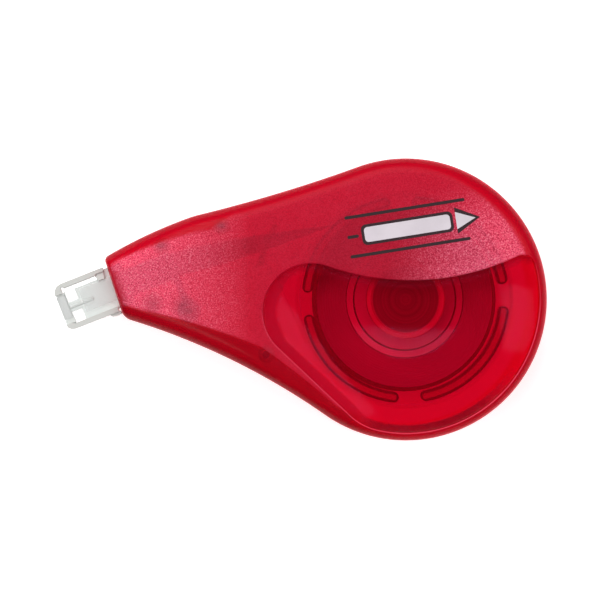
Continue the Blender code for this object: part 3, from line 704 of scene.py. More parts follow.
def clear_red(name, tint, deep, edge_share, frost_share, clear_share, depth=1.0):
    """Clear red moulded plastic. Light passes straight through it, and a share stops at each surface.

    The share follows the masks of the mesh: frosted, clear, rim for painted shade on edges that look dark
    from above, lip for a painted highlight on an edge that catches the light, and milky for a paler frost.
    The frost scatters pink light, with a painted glow towards the nose, where the white tip lies behind it,
    painted sparkle and glints, and painted shade where a peg or ear is behind it.
    The depth is how many times the tint works along the edges, which are neither frosted nor clear.
    """
    material, tree, plastic = new_material(name)
    frosted, clear, rim, lip_mask, milky = [
        add_node(tree, "Attribute", attribute_name=mask).outputs["Fac"]
        for mask in ("frosted", "clear", "rim", "lip", "milky")
    ]
    grain = add_node(tree, "Group", node_tree=sparked_grain).outputs
    place = object_place(tree)
    along = add_node(tree, "SeparateXYZ", Vector=place).outputs["X"]

    def times(first, second):
        """The product of two values."""
        return worked(tree, "MULTIPLY", first, second)

    # The painted glow towards the nose, with the paler milky frost.
    pale = worked(tree, "ADD", ranged(tree, along, nose_start * mm, nose_full * mm, 0.0, nose_painted_glow), milky)
    # Painted sparkle: the grain lifts the frost towards the haze colour in bright specks.
    sparkle_strength = worked(tree, "MULTIPLY_ADD", pale, sparkle_gain, sparkle_least)
    sparkling = worked(tree, "MULTIPLY_ADD", grain["Painted_sparkle"], sparkle_strength, pale)
    mottled = worked(tree, "MULTIPLY_ADD", grain["Mottle"], mottle_share, sparkling)
    # The lip mask paints a highlight in the haze colour.
    hazy = worked(tree, "MAXIMUM", times(mottled, frosted), times(lip_mask, lip_painted_highlight))
    body = colour_mix(tree, hazy, deep, case_haze)
    # Painted glints, the grain's dark specks, painted shade of pegs and ear, and painted shade on rims.
    for share, colour in (
        (times(grain["Painted_glint"], times(pale, frosted)), painted_glint_colour),
        (times(grain["Speck"], times(frosted, speck_share)), grain_dark),
        (times(peg_shade(tree, place), times(frosted, peg_share)), painted_peg_shade),
        (rim, tuple(painted_rim_shade * part for part in deep)),
    ):
        body = colour_mix(tree, share, body, colour)
    fill(tree, plastic, Base_Color=body, Specular_IOR_Level=case_gloss, Coat_Roughness=polish_rough)
    fill(tree, plastic, Roughness=ranged(tree, frosted, 0.0, 1.0, edge_rough, frost_rough))
    fill(tree, plastic, Coat_Weight=times(clear, ranged(tree, rim, 0.0, polish_end, 1.0, 0.0)))
    fill(tree, plastic, Normal=bumped(tree, times(grain["Height"], frosted), grain_strength, grain_depth))
    stopped = ranged(tree, frosted, 0.0, 1.0, edge_share, frost_share)
    cleared = times(stopped, ranged(tree, clear, 0.0, 1.0, 1.0, clear_share / edge_share))
    edges = worked(tree, "MAXIMUM", times(rim, rim_share), times(lip_mask, lip_share))
    edge_tint = tuple(part ** depth for part in tint)
    passed = colour_mix(tree, worked(tree, "MAXIMUM", frosted, clear), edge_tint, tint)
    see_through(tree, plastic, passed, worked(tree, "MAXIMUM", cleared, edges))
    return material


back_shares = {"edge_share": 0.4, "frost_share": 0.4, "clear_share": 0.04}
post_shares = {"edge_share": 0.12, "frost_share": 0.12, "clear_share": 0.1}
back_red = clear_red("back_case_red", case_tint, case_deep, **back_shares, depth=edge_depth)
back_case.data.materials.append(back_red)
axle_post.data.materials.append(clear_red("axle_post_red", case_tint, case_deep, **post_shares))
for piece in (back_case, axle_post):
    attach(piece, "casing")
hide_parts("back_shell")

# Supply reel
# A clear red reel turns on the axle post on a felt-like drag washer. Its white moulded core carries the
# wound tape, whose edges show as fine rings, and the friction washer on top drives the other reel.
pack_inner = 10.35
pack_outer = 15.4
pack_low = 2.5
pack_high = 6.7
turn_pitch = 0.42
turn_ripple = 0.03
ring_count = 180
turn_rows = 8
least_rows = 4
satin_gloss = 0.25
satin_spread = 0.1
skin_strength = 0.3
ring_scale = 900.0
ring_waver = 0.6
ring_spread = 0.15


def wound_ring(name, inner, outer, low, high, pitch, ripple):
    """Film wound on a core: a ring whose edges stand at slightly different heights from turn to turn.

    The ripple is a cosine of the radius less the spiral's advance, a pitch for each turn, on both edges.
    """
    angles = np.linspace(0, full_turn, ring_count, endpoint=False)
    radii = np.linspace(inner, outer, max(least_rows, int((outer - inner) / pitch * turn_rows)))
    phase = full_turn * radii[:, None] / pitch - angles[None, :]
    sink = ripple * (0.5 - 0.5 * np.cos(phase))
    sink[[0, -1]] = 0
    plan = radii[:, None, None] * unit(angles)[None, :, :]
    grid = np.concatenate([raised(plan, high - sink), raised(plan, low + sink)[::-1]])
    return solid(name, [grid], block_sharp, ring=True)


def plain_plastic(name, colour, shade, roughness, grain_scale, depth):
    """Solid moulded plastic: two near colours mottled together, with a fine moulded skin."""
    material, tree, plastic = new_material(name)
    grain = add_node(tree, "Group", node_tree=sparked_grain, Scale=grain_scale).outputs
    fill(tree, plastic, Base_Color=colour_mix(tree, grain["Mottle"], colour, shade))
    rough = ranged(tree, grain["Mottle"], 0.0, 1.0, roughness, roughness + satin_spread)
    fill(tree, plastic, Roughness=rough, Specular_IOR_Level=satin_gloss)
    fill(tree, plastic, Normal=bumped(tree, grain["Height"], skin_strength, depth))
    return material


def wound_rings(name, colour, shade, roughness):
    """The edges of wound film: fine rings about the reel axis in two near colours."""
    material, tree, plastic = new_material(name)
    rings = add_node(tree, "TexWave", wave_type="RINGS", rings_direction="Z", Vector=object_place(tree))
    share = fill(tree, rings, Scale=ring_scale, Distortion=ring_waver).outputs["Fac"]
    rough = ranged(tree, share, 0.0, 1.0, roughness, roughness + ring_spread)
    fill(tree, plastic, Base_Color=colour_mix(tree, share, colour, shade), Roughness=rough)
    return material


def dress(node, material):
    """Gives a CAD node the material."""
    nodes[node].data.materials.clear()
    nodes[node].data.materials.append(material)


reel_tint = (0.985, 0.9, 0.95)
reel_deep = (0.5, 0.04, 0.12)
reel_shade = (0.36, 0.03, 0.09)
core_white = (0.94, 0.92, 0.89)
core_shade = (0.9, 0.88, 0.85)
felt_grey = (0.2, 0.19, 0.19)
felt_shade = (0.14, 0.13, 0.13)
friction_pale = (0.9, 0.89, 0.88)
friction_shade = (0.84, 0.83, 0.82)
tape_light = (0.57, 0.56, 0.55)
tape_dark = (0.51, 0.5, 0.49)
reel_shares = {"edge_share": 0.55, "frost_share": 0.55, "clear_share": 0.05}
core_skin = {"roughness": 0.4, "grain_scale": 5200.0, "depth": 0.00001}
felt_skin = {"roughness": 0.75, "grain_scale": 9000.0, "depth": 0.00004}
dress("supply_reel", clear_red("supply_red", reel_tint, reel_shade, **reel_shares))
dress("tape_core", plain_plastic("core_white", core_white, core_shade, **core_skin))
dress("drag_washer", plain_plastic("drag_grey", felt_grey, felt_shade, **felt_skin))
dress("friction_washer", plain_plastic("friction_pale", friction_pale, friction_shade, **felt_skin))
tape_pack = wound_ring("wound_tape", pack_inner, pack_outer, pack_low, pack_high, turn_pitch, turn_ripple)
tape_pack.data.materials.append(wound_rings("tape_edges", tape_light, tape_dark, roughness=0.45))
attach(tape_pack, "supply")
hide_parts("tape_pack")

# Take-up reel
# The second clear red reel has four arc walls on a thin disc, and the used film winds round them. A washer
# and a short coil spring press it on the friction washer, so that it slips, and a cap holds the stack.
film_inner = 18.25
film_outer = 18.55
film_low = 9.1
film_high = 13.3
film_pitch = 0.1
film_ripple = 0.01
bore_radius = 5.9
hub_radius = 6.84
collar_top = 9.1
disc_low = 8.1
disc_high = 8.8
disc_radius = 19.15
disc_steps = 128
arc_inner = 16.2
arc_outer = 18.1
arc_top = 13.3
arc_round = 0.3
arc_rim = 0.4
arc_level = 1.5 * arc_rim
arc_fade = (0.5 * arc_rim, 1.2 * arc_rim)
# How much painted shade the arc walls' tops get.
arc_top_painted_shade = 0.3
arc_number = 4
arc_bends = 5
arc_ends = 9
arc_steps = 40
arc_sharp = 50
least_narrow = 0.02
arc_break = math.radians(13)
arc_turn = math.radians(2.5)
cap_low = 12.7
cap_pan = 13.1
cap_top = 13.3
cap_steps = 96
cap_edge = 0.25
cap_scale = 1900.0
cap_rough = 0.2
cap_dark = (0.17, 0.04, 0.07)
cap_ring = (0.25, 0.06, 0.1)
cap_bright = (0.6, 0.17, 0.28)
stem_radius = 3.9
stem_length = 5.0


def arc_walls(name):
    """Upright arc walls with rounded tops: one section carried round the axis four times, with breaks.

    Towards each end the section narrows about its middle by a half circle. The rim mask is painted shade:
    it is 1 at the sides and ends of each wall and falls to 0 a little way in from them.
    """
    bend = np.linspace(half_turn, quarter_turn, arc_bends)
    rise_out = arc_inner + arc_round + arc_round * np.cos(bend)
    rise = np.stack([rise_out, arc_top - arc_round + arc_round * np.sin(bend)])
    level = np.array([[arc_inner + arc_rim, arc_inner + arc_level], [arc_top, arc_top]])
    half = np.concatenate([[[arc_inner], [(disc_low + disc_high) / 2]], rise, level], axis=1).T
    section = np.concatenate([half, half[::-1] * [-1, 1] + [arc_inner + arc_outer, 0]])
    section_rim = np.ones(len(section))
    # Painted shade: full on the sides, less on the top, none at the foot.
    section_rim[len(half) - 1:len(half) + 1] = arc_top_painted_shade
    section_rim[[0, -1]] = 0
    span = full_turn / arc_number - arc_break
    middle = (arc_inner + arc_outer) / 2
    half_width = (arc_outer - arc_inner) / 2
    round_end = half_width / middle * (1 - np.cos(np.linspace(0, quarter_turn, arc_ends)))
    straight = np.linspace(round_end[-1], span - round_end[-1], arc_steps)[1:-1]
    shares = np.concatenate([round_end, straight, span - round_end[::-1]])
    from_end = np.minimum(shares, span - shares) * middle
    narrow = np.sqrt(1 - (1 - np.clip(from_end / half_width, least_narrow, 1)) ** 2)
    end_rim = 1 - eased(from_end, *arc_fade)
    rim = np.maximum(section_rim[None, :], end_rim[:, None])
    radius = middle + (section[None, :, :1] - middle) * narrow[:, None, None]
    grids = []
    for number in range(arc_number):
        angles = arc_turn + arc_break / 2 + full_turn * number / arc_number + shares
        grids.append(raised(radius * unit(angles)[:, None, :], section[:, 1]))
    obj = solid(name, grids, arc_sharp)
    write_mask(obj.data, "rim", np.tile(rim.reshape(-1), arc_number))
    return obj


disc_profile = [
    (bore_radius, disc_low),
    (disc_radius, disc_low),
    (disc_radius, disc_high),
    (hub_radius, disc_high),
    (hub_radius, collar_top),
    (bore_radius, collar_top),
]
reel_disc = turned_parts("take_up_disc", [(axis_place, disc_profile)], disc_steps)
reel_arcs = arc_walls("take_up_arcs")
disc_shares = {"edge_share": 0.04, "frost_share": 0.04, "clear_share": 0.04}
arc_shares = {"edge_share": 0.2, "frost_share": 0.2, "clear_share": 0.05}
reel_disc.data.materials.append(clear_red("take_up_disc_red", reel_tint, reel_deep, **disc_shares))
reel_arcs.data.materials.append(clear_red("take_up_arc_red", reel_tint, reel_deep, **arc_shares))
for piece in (reel_disc, reel_arcs):
    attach(piece, "take_up")
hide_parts("take_up_reel")


def cap_red(name):
    """The cap's red by the distance from the axis: a bright raised rim, and a dark pan with faint rings."""
    material, tree, plastic = new_material(name)
    split = add_node(tree, "SeparateXYZ", Vector=object_place(tree)).outputs
    square = worked(tree, "MULTIPLY", split["X"], split["X"])
    radius = worked(tree, "SQRT", worked(tree, "MULTIPLY_ADD", split["Y"], split["Y"], square))
    rings = add_node(tree, "TexNoise", noise_dimensions="1D", Scale=cap_scale, Detail=1.0, W=radius)
    share = ranged(tree, rings.outputs["Fac"], *slow_range, 0.0, 1.0)
    rim = ranged(tree, radius, (bore_radius - cap_edge) * mm, bore_radius * mm, 0.0, 1.0)
    colour = colour_mix(tree, rim, colour_mix(tree, share, cap_dark, cap_ring), cap_bright)
    fill(tree, plastic, Base_Color=colour, Roughness=cap_rough)
    return material


stem_low = cap_low - stem_length
cap_profile = [
    (0, stem_low),
    (stem_radius, stem_low),
    (stem_radius, cap_low),
    (hub_radius - soft_edge, cap_low),
    (hub_radius, cap_low + soft_edge),
    (hub_radius, cap_top - soft_edge),
    (hub_radius - soft_edge, cap_top),
    (bore_radius + soft_edge, cap_top),
    (bore_radius, cap_pan),
    (0, cap_pan),
]
axle_cap = turned_parts("axle_cap_dish", [(axis_place, cap_profile)], cap_steps)
axle_cap.data.materials.append(cap_red("axle_cap_red"))
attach(axle_cap, "casing")
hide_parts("axle_cap")
pressure_skin = {"roughness": 0.6, "grain_scale": 9000.0, "depth": 0.00002}
dress("pressure_washer", plain_plastic("pressure_grey", felt_grey, felt_shade, **pressure_skin))
steel_bright = (0.62, 0.62, 0.63)
steel_dark = (0.42, 0.42, 0.43)
steel_rough = (0.2, 0.4)
film_colour = (0.85, 0.86, 0.86, 1)
film_tint = (0.99, 0.99, 0.99, 1)
film_rough = (0.06, 0.2)


def drawn_steel(name):
    """Bright spring wire with faint draw marks across a fine noise."""
    material, tree, steel = new_material(name)
    marks = noise(tree, Scale=3500.0, Detail=2.0)
    fill(tree, steel, Metallic=1.0, Base_Color=colour_mix(tree, marks, steel_bright, steel_dark))
    fill(tree, steel, Roughness=ranged(tree, marks, 0.0, 1.0, *steel_rough))
    return material


def clear_film(name, share):
    """Bare film: nearly all light passes, with a gloss and faint cross wrinkles."""
    material, tree, film = new_material(name)
    wrinkles = noise(tree, Scale=420.0, Detail=2.0)
    fill(tree, film, Base_Color=film_colour, Roughness=ranged(tree, wrinkles, 0.0, 1.0, *film_rough))
    see_through(tree, film, film_tint, share)
    return material


dress("clutch_spring", drawn_steel("spring_steel"))
bare_film = clear_film("bare_film", share=0.12)
film_winding = wound_ring("wound_film", film_inner, film_outer, film_low, film_high, film_pitch, film_ripple)
film_winding.data.materials.append(bare_film)
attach(film_winding, "take_up")
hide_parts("film_winding")

# Tape and film
# White coated tape runs from the wound pack, twisting flat, along the underside of the tip and round its
# front edge. From there the bare film runs back over the tip, round the guide pin and onto the take-up reel.
tape_width = 4.2
tape_thickness = 0.15
wrap_radius = 0.875
bar_centre = 9.25
loop_start = 6.3
strip_gap = 0.3
tongue_end = -11.3
guide_radius = 1.5
guide_place = tip_place(-25.0, -1.875)
feed_delay = 0.25
twist_count = 48
run_count = 12
loop_count = 6
wrap_count = 25
pin_count = 16
upright = np.array([0.0, 0.0, 1.0])
tip_across = np.array([*tip_up, 0.0])


def strip(name, places, across):
    """A strip of tape: a flat section of four corners carried along places, square to the way."""
    across = np.broadcast_to(across, places.shape)
    side = across / np.linalg.norm(across, axis=1)[:, None] * tape_width / 2
    normal = np.cross(np.gradient(places, axis=0), side)
    normal *= tape_thickness / 2 / np.linalg.norm(normal, axis=1)[:, None]
    low = places - normal
    high = places + normal
    return solid(name, [np.stack([low - side, low + side, high + side, high - side], axis=1)], block_sharp)


def on_tip(along, height):
    """Places along the middle of the tip at a height."""
    return raised(tip_place(along, 0.0), height)


def twisted(start, end, low, high, first, second, delay):
    """Places and directions of a strip that turns a quarter on its way and changes height by a cosine."""
    share = np.linspace(0, 1, twist_count)
    turn = quarter_turn * np.clip((share - delay) / (1 - delay), 0, 1)
    lift = (1 - np.cos(2 * turn)) / 2
    places = raised(start + (end - start) * share[:, None], low + (high - low) * lift)
    return places, first * np.cos(turn)[:, None] + second * np.sin(turn)[:, None]


tail = tip_place(tongue_end, 0.0)
pack_reach = pack_outer + strip_gap + tape_thickness / 2
touch = pack_reach * unit(bearing(tail) - math.acos(pack_reach / np.hypot(*tail)))
away = (touch - tail) / np.hypot(*(touch - tail))
feed_side = np.array([-away[1], away[0], 0.0])
under = parting - wrap_radius
over = parting + wrap_radius
feed, feed_across = twisted(touch, tail, (pack_low + pack_high) / 2, under, upright, feed_side, feed_delay)
feed_ends = np.linspace(tongue_end, loop_start - strip_gap, run_count)[1:]
feed = np.concatenate([feed, on_tip(feed_ends, under)])
feed_across = np.concatenate([feed_across, np.tile(tip_across, (len(feed_ends), 1))])
tape_feed = strip("tape_from_pack", feed, feed_across)
wrap = np.linspace(-quarter_turn, quarter_turn, wrap_count)
bend = on_tip(bar_centre + wrap_radius * np.cos(wrap), parting + wrap_radius * np.sin(wrap))
loop_ends = np.linspace(loop_start, bar_centre, loop_count)[:-1]
going = on_tip(loop_ends[::-1], over)
front_start = len(bend) // 4
under_loop = np.concatenate([on_tip(loop_ends, under), bend[:front_start + 1]])
front_loop = np.concatenate([bend[front_start:], going[:1]])
white_under = strip("tape_under_edge", under_loop, tip_across)
white_loop = strip("tape_at_edge", front_loop, tip_across)
clear_loop = strip("film_over_edge", going[1:], tip_across)
guide_bend = guide_radius + strip_gap + tape_thickness / 2
pin_start = guide_place + guide_bend * tip_up
film_middle = (film_low + film_high) / 2
back_ends = np.linspace(loop_start - strip_gap, tongue_end, run_count)[:-1]
turned_film, turned_across = twisted(tail, pin_start, over, film_middle, tip_across, upright, 0.0)
wind_reach = film_outer + strip_gap + tape_thickness / 2
meet = bearing(-guide_place) + math.acos((guide_bend + wind_reach) / np.hypot(*guide_place))
round_pin = raised(arc(guide_place, guide_bend, tip_angle + quarter_turn, meet, pin_count)[1:], film_middle)
landing = -wind_reach * unit(np.array([meet]))
last = raised(np.concatenate(between(round_pin[-1:, :2], landing, loop_count)), film_middle)
film_back = np.concatenate([on_tip(back_ends, over), turned_film, round_pin, last])
level = np.tile(tip_across, (len(back_ends), 1))
stood = np.tile(upright, (len(round_pin) + len(last), 1))
film_return = strip("film_to_reel", film_back, np.concatenate([level, turned_across, stood]))
chalk_rough = 0.65
chalk_strength = 0.2
chalk_depth = 0.00001
chalk_light = (0.92, 0.92, 0.9)
chalk_shade = (0.86, 0.86, 0.84)
edge_light = (0.68, 0.695, 0.68)
edge_shade = (0.64, 0.655, 0.64)
open_white = (1, 1, 1, 1)


def chalk(name, colour, shade, share):
    """The white coating on the tape: chalky, with faint streaks. A share of the light stops at it."""
    material, tree, coat = new_material(name)
    streaks = noise(tree, Scale=1500.0, Detail=3.0)
    fill(tree, coat, Base_Color=colour_mix(tree, streaks, colour, shade), Roughness=chalk_rough)
    fill(tree, coat, Normal=bumped(tree, streaks, chalk_strength, chalk_depth))
    see_through(tree, coat, open_white, share)
    return material


for piece, material, slot_name in (
    (tape_feed, chalk("tape_chalk", chalk_light, chalk_shade, share=0.8), "tape_white"),
    (white_under, chalk("thin_chalk", chalk_light, chalk_shade, share=0.15), "tape_white"),
    (white_loop, chalk("edge_chalk", edge_light, edge_shade, share=0.92), "tape_white"),
    (clear_loop, clear_film("edge_film", share=0.03), "film_clear"),
    (film_return, bare_film, "film_clear"),
):
    piece.data.materials.append(material)
    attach(piece, "casing")
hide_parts("tape_feed_run")
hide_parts("tape_tip_loop")
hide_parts("film_return_run")

# Applicator tip
# A satin white acetal moulding: a thin plate with two rails, a rounded pressing bar, a slot and two square
# holes that let the plate flex. Its tongue and ear sit inside the nose on one of the pegs.
tip_bevel = 0.16
bevel_steps = 3
bevel_angle = math.radians(40)
flat_angle = math.radians(2)
loose_gap = 1e-6
bar_back = 8.4
cheek_round = 0.9
cheek_gap = 0.05
cheek_count = 17
rail_lap = 0.1
top_shoulder = 0.34
low_shoulder = 0.84
tip_side = 4.14
top_rail = 0.68
rail_half = 1.3
pad_depth = 0.3
slot_back = 2.2
root_depth = 2.0
root_half = 0.9
root_along = (0.9, 2.2, 2.6, 0.7)
stop_depth = 0.6
stop_along = (0.4, 0.4, 1.0, 2.1, 2.5)
plate_half = 0.35
ridge_back = 3.9
ridge_half = 0.4
ridge_top = 0.7
ridge_across = -0.25
ridge_bends = 13
ridge_steps = 24
ridge_least = 0.01
# The colour of the painted shade on the tip's rails.
rail_painted_shade = (0.625, 0.63, 0.6)
tip_light = (0.78, 0.82, 0.795)
tip_shade = (0.74, 0.78, 0.755)
tip_skin = {"roughness": 0.34, "grain_scale": 7000.0, "depth": 0.000006}


def merged_copy(node, name):
    """A copy of a CAD node's mesh with its loose triangles merged and its flat faces made whole."""
    mesh = nodes[node].data.copy()
    mesh.name = name
    work = bmesh.new()
    work.from_mesh(mesh)
    bmesh.ops.remove_doubles(work, verts=work.verts, dist=loose_gap)
    bmesh.ops.dissolve_limit(work, angle_limit=flat_angle, verts=work.verts, edges=work.edges)
    work.to_mesh(mesh)
    work.free()
    mesh.materials.clear()
    return finished(name, mesh, shell_sharp)


def break_edges(obj):
    """Rounds the sharp edges of a moulded piece a little."""
    bevel = obj.modifiers.new("broken_edges", "BEVEL")
    bevel.width = tip_bevel * mm
    bevel.segments = bevel_steps
    bevel.limit_method = "ANGLE"
    bevel.angle_limit = bevel_angle
    bevel.use_clamp_overlap = True
    bevel.harden_normals = True


def prisms(name, plans, low, high):
    """Upright prisms as one mesh: each plan outline at two levels, with walls between and two ends."""
    return solid(name, [np.stack([raised(plan, low), raised(plan, high)]) for plan in plans], block_sharp)


def tip_block(name, along, across, half):
    """A prism on the tip, as deep on both sides of the parting, from an outline in the tip's directions."""
    return prisms(name, [tip_place(along, across)], parting - half, parting + half)


tip = merged_copy("applicator_tip", "white_tip")
inner_rail = tip_side - top_rail
pad_along = (slot_back, bar_back, bar_back, slot_back)
pad_inner = inner_rail - pad_depth
pad_outer = inner_rail + rail_lap
root_outer = tip_side - rail_lap
root_inner = tip_side - root_depth
stop_inner = rail_lap - tip_side
stop_outer = stop_inner - stop_depth
stop_across = (stop_inner, stop_outer, stop_outer - rail_lap, stop_outer, stop_inner)
rail_pad = tip_block("rail_pad", pad_along, (pad_inner, pad_inner, pad_outer, pad_outer), rail_half)
rail_root = tip_block("rail_root", root_along, (root_inner, root_inner, root_outer, root_outer), root_half)
low_stop = tip_block("low_stop", stop_along, stop_across, root_half)
for piece in (tip, rail_pad, rail_root, low_stop):
    break_edges(piece)


def cheek(name, near, far):
    """A block beside the tape that carries the bar on to a rail, with a half-round front like the loop."""
    turn = np.linspace(-quarter_turn, quarter_turn, cheek_count)
    along = np.concatenate([[bar_back], bar_centre + cheek_round * np.cos(turn), [bar_back]])
    height = np.concatenate([[-cheek_round], cheek_round * np.sin(turn), [cheek_round]])
    sides = [raised(tip_place(along, across), parting + height) for across in (near, far)]
    return solid(name, [np.stack(sides)], block_sharp)


def ridge(name):
    """The short raised rib behind the bar: a half-ellipse section that sinks to nothing at its back end."""
    turn = np.linspace(0, half_turn, ridge_bends)
    along = np.linspace(ridge_back, bar_back, ridge_steps)[:, None]
    size = np.sqrt(np.clip((along - ridge_back) / ridge_half, ridge_least, 1))
    across = ridge_across + ridge_half * size * np.cos(turn)
    height = plate_half + (ridge_top - plate_half) * size * np.sin(turn)
    return solid(name, [raised(tip_place(along, across), parting + height)], block_sharp)


def paint_rail_shade(material):
    """Paints shade on the tip's plastic with the distance from the parting, from the plate out to the rails.
    """
    tree = material.node_tree
    colour = tree.nodes["Principled BSDF"].inputs["Base Color"]
    height = add_node(tree, "SeparateXYZ", Vector=object_place(tree)).outputs["Z"]
    apart = worked(tree, "ABSOLUTE", worked(tree, "SUBTRACT", height, parting * mm))
    out = ranged(tree, apart, plate_half * mm, rail_half * mm, 0.0, 1.0)
    tree.links.new(colour_mix(tree, out, colour.links[0].from_socket, rail_painted_shade), colour)


tape_edge = tape_width / 2
top_cheek = cheek("top_cheek", tape_edge + cheek_gap, tape_edge + top_shoulder + rail_lap)
low_cheek = cheek("low_cheek", -tape_edge - cheek_gap, -tape_edge - low_shoulder - rail_lap)
tip_ridge = ridge("tip_ridge")
tip_white = plain_plastic("tip_white", tip_light, tip_shade, **tip_skin)
# The rails get a painted shade, darker than the plate.
paint_rail_shade(tip_white)
for piece in (tip, rail_pad, rail_root, low_stop, top_cheek, low_cheek, tip_ridge):
    piece.data.materials.append(tip_white)
    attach(piece, "casing")
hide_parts("applicator_tip")

# Front shell
# The upper half of the clear red case. Its face is frosted and falls towards the nose, and a polished
# window is sunk into it over the reels. Pegs, the film guide pin and a short rib stand on its inside.
pane_low = 13.6
pane_high = 14.8
pane_rise = 0.018
pane_power = 1.6
pane_rows = 11
lip_round = 0.22
lip_rows = 4
foot_round = 0.3
foot_rows = 5
rim_depth = 2.0
rim_room = 0.93
back_room = 0.7
ceiling_room = 0.5
least_room = 0.02
thin_back = 0.2
# Painted shade on the lower flank, a painted shadow under the sag and a painted dark crescent in the pane.
flank_painted_shade = 0.75
flank_x = (-4.0, 12.0)
sag_painted_shadow = 0.6
sag_fade = (0.2, 2.0)
sag_facing = (0.2, 0.8)
left_facing = (0.1, 0.7)
wide_facing = (0.5, 0.95)
crescent_width = 1.5
crescent_more = 1.2
crescent_painted_shade = 0.9
crescent_less = 0.4
crescent_fade = (0.8, 1.05)
crescent_facing = (0.45, 0.9)
lip_facing = (-0.3, 0.4)
milk_share = 0.55
milk_fade = (4.0, 17.0)
milk_edge = 0.2
milk_edge_fade = (0.3, 2.5)
milk_x = (-4.0, 14.0)
curve_skip = 2
peg_low = 4.65
pin_steps = 48
rib_start = math.radians(150)
rib_end = math.radians(167)
rib_inner = 25.5
rib_outer = 26.5
rib_steps = 24
pin_deep = (0.3, 0.01, 0.03)
front_shares = {"edge_share": 0.5, "frost_share": 0.7, "clear_share": 0.05}
pin_shares = {"edge_share": 0.35, "frost_share": 0.35, "clear_share": 0.05}
highest = window_curve[:, 1].max()


def pane_height(plan, low, top):
    """The height of the pane above the parting: level across, and rising towards the lower rim."""
    return low - parting + pane_rise * (top - plan[:, 1])


def sunk_outer():
    """The front's outer rows: wall, rounded edge, face in to the window's lip, step, and pane to its middle.

    Where the rim leaves less room than the rounding needs, the rows keep to that room, and the crown gives
    the height. Also how many of the rows are the window's.
    """
    room = np.minimum(edge_round, rim_room * (nearest(way, window_curve) - lip_round))
    rows = wall_rows(case_plan, count=5)
    rows += edge_rows(0.0, room, edge_round, mouth_round, count=12)
    for face in between(rows[-1][0], window_place + lip_round * window_out, count=16):
        height = half_depth - edge_round + crown(nearest(face, way), edge_round)
        rows.append((face, height - fall(face[:, 0])))
    top = rows[-1][1]
    for angle in np.linspace(0, quarter_turn, lip_rows + 1)[1:]:
        face = window_place + lip_round * (1 - math.sin(angle)) * window_out
        rows.append((face, top - lip_round * (1 - math.cos(angle))))
    above = len(rows)
    for angle in np.linspace(0, quarter_turn, foot_rows):
        face = window_place - foot_round * (1 - math.cos(angle)) * window_out
        rows.append((face, pane_height(face, pane_high, highest) + foot_round * (1 - math.sin(angle))))
    near = window_place - rim_depth * window_out
    faces = between(rows[-1][0], near, count=8)
    shares = np.linspace(0, 1, pane_rows)[1:-1] ** pane_power
    faces += [near + share * (centre_place - near) for share in shares]
    rows += [(face, pane_height(face, pane_high, highest)) for face in faces]
    return rows, len(rows) - above - 2


def sunk_inner():
    """The front's inner rows: wall, rounded edge, ceiling, the back of the step, and the pane's underside.

    The step's back stands a wall out from the window, or nearer where the rim is thin, and the ceiling
    comes down to the pane with it.
    """
    inner_way = way + wall * way_in
    spread = np.minimum(wall, back_room * nearest(window_place, inner_way))
    back = window_place + spread[:, None] * window_out
    dense = even(np.concatenate([back, back[:1]]), 2 * way_count)
    edge_room = np.clip(ceiling_room * nearest(inner_way, dense), least_room, edge_round - wall)
    share = np.clip((spread - thin_back) / (wall - thin_back), 0, 1)

    def under_pane(plan):
        """The height of the pane's underside here."""
        return pane_height(plan, pane_low, highest + wall)

    def ceiling(plan):
        """The highest that the cavity may reach here."""
        return under_pane(plan) + np.maximum(flat_height(plan, wall) - under_pane(plan), 0) * share

    plan, _ = plan_row(np.full(way_count, wall), wall, wall)
    rows = wall_rows(plan, count=3)
    for face, height in edge_rows(wall, edge_room, edge_round - wall, 0.0, count=5):
        rows.append((face, np.minimum(height, ceiling(face))))
    rows += [(face, ceiling(face)) for face in between(rows[-1][0], back, count=6)]
    below = back - least_room * window_out
    faces = [below] + between(below, np.broadcast_to(centre_place, below.shape), count=5)[:-1]
    return rows + [(face, under_pane(face)) for face in faces]


front_inner = sunk_inner()
front_outer, front_sunk = sunk_outer()
front_case = shell_mesh("front_case", front_inner, front_outer, front_sunk, 1)


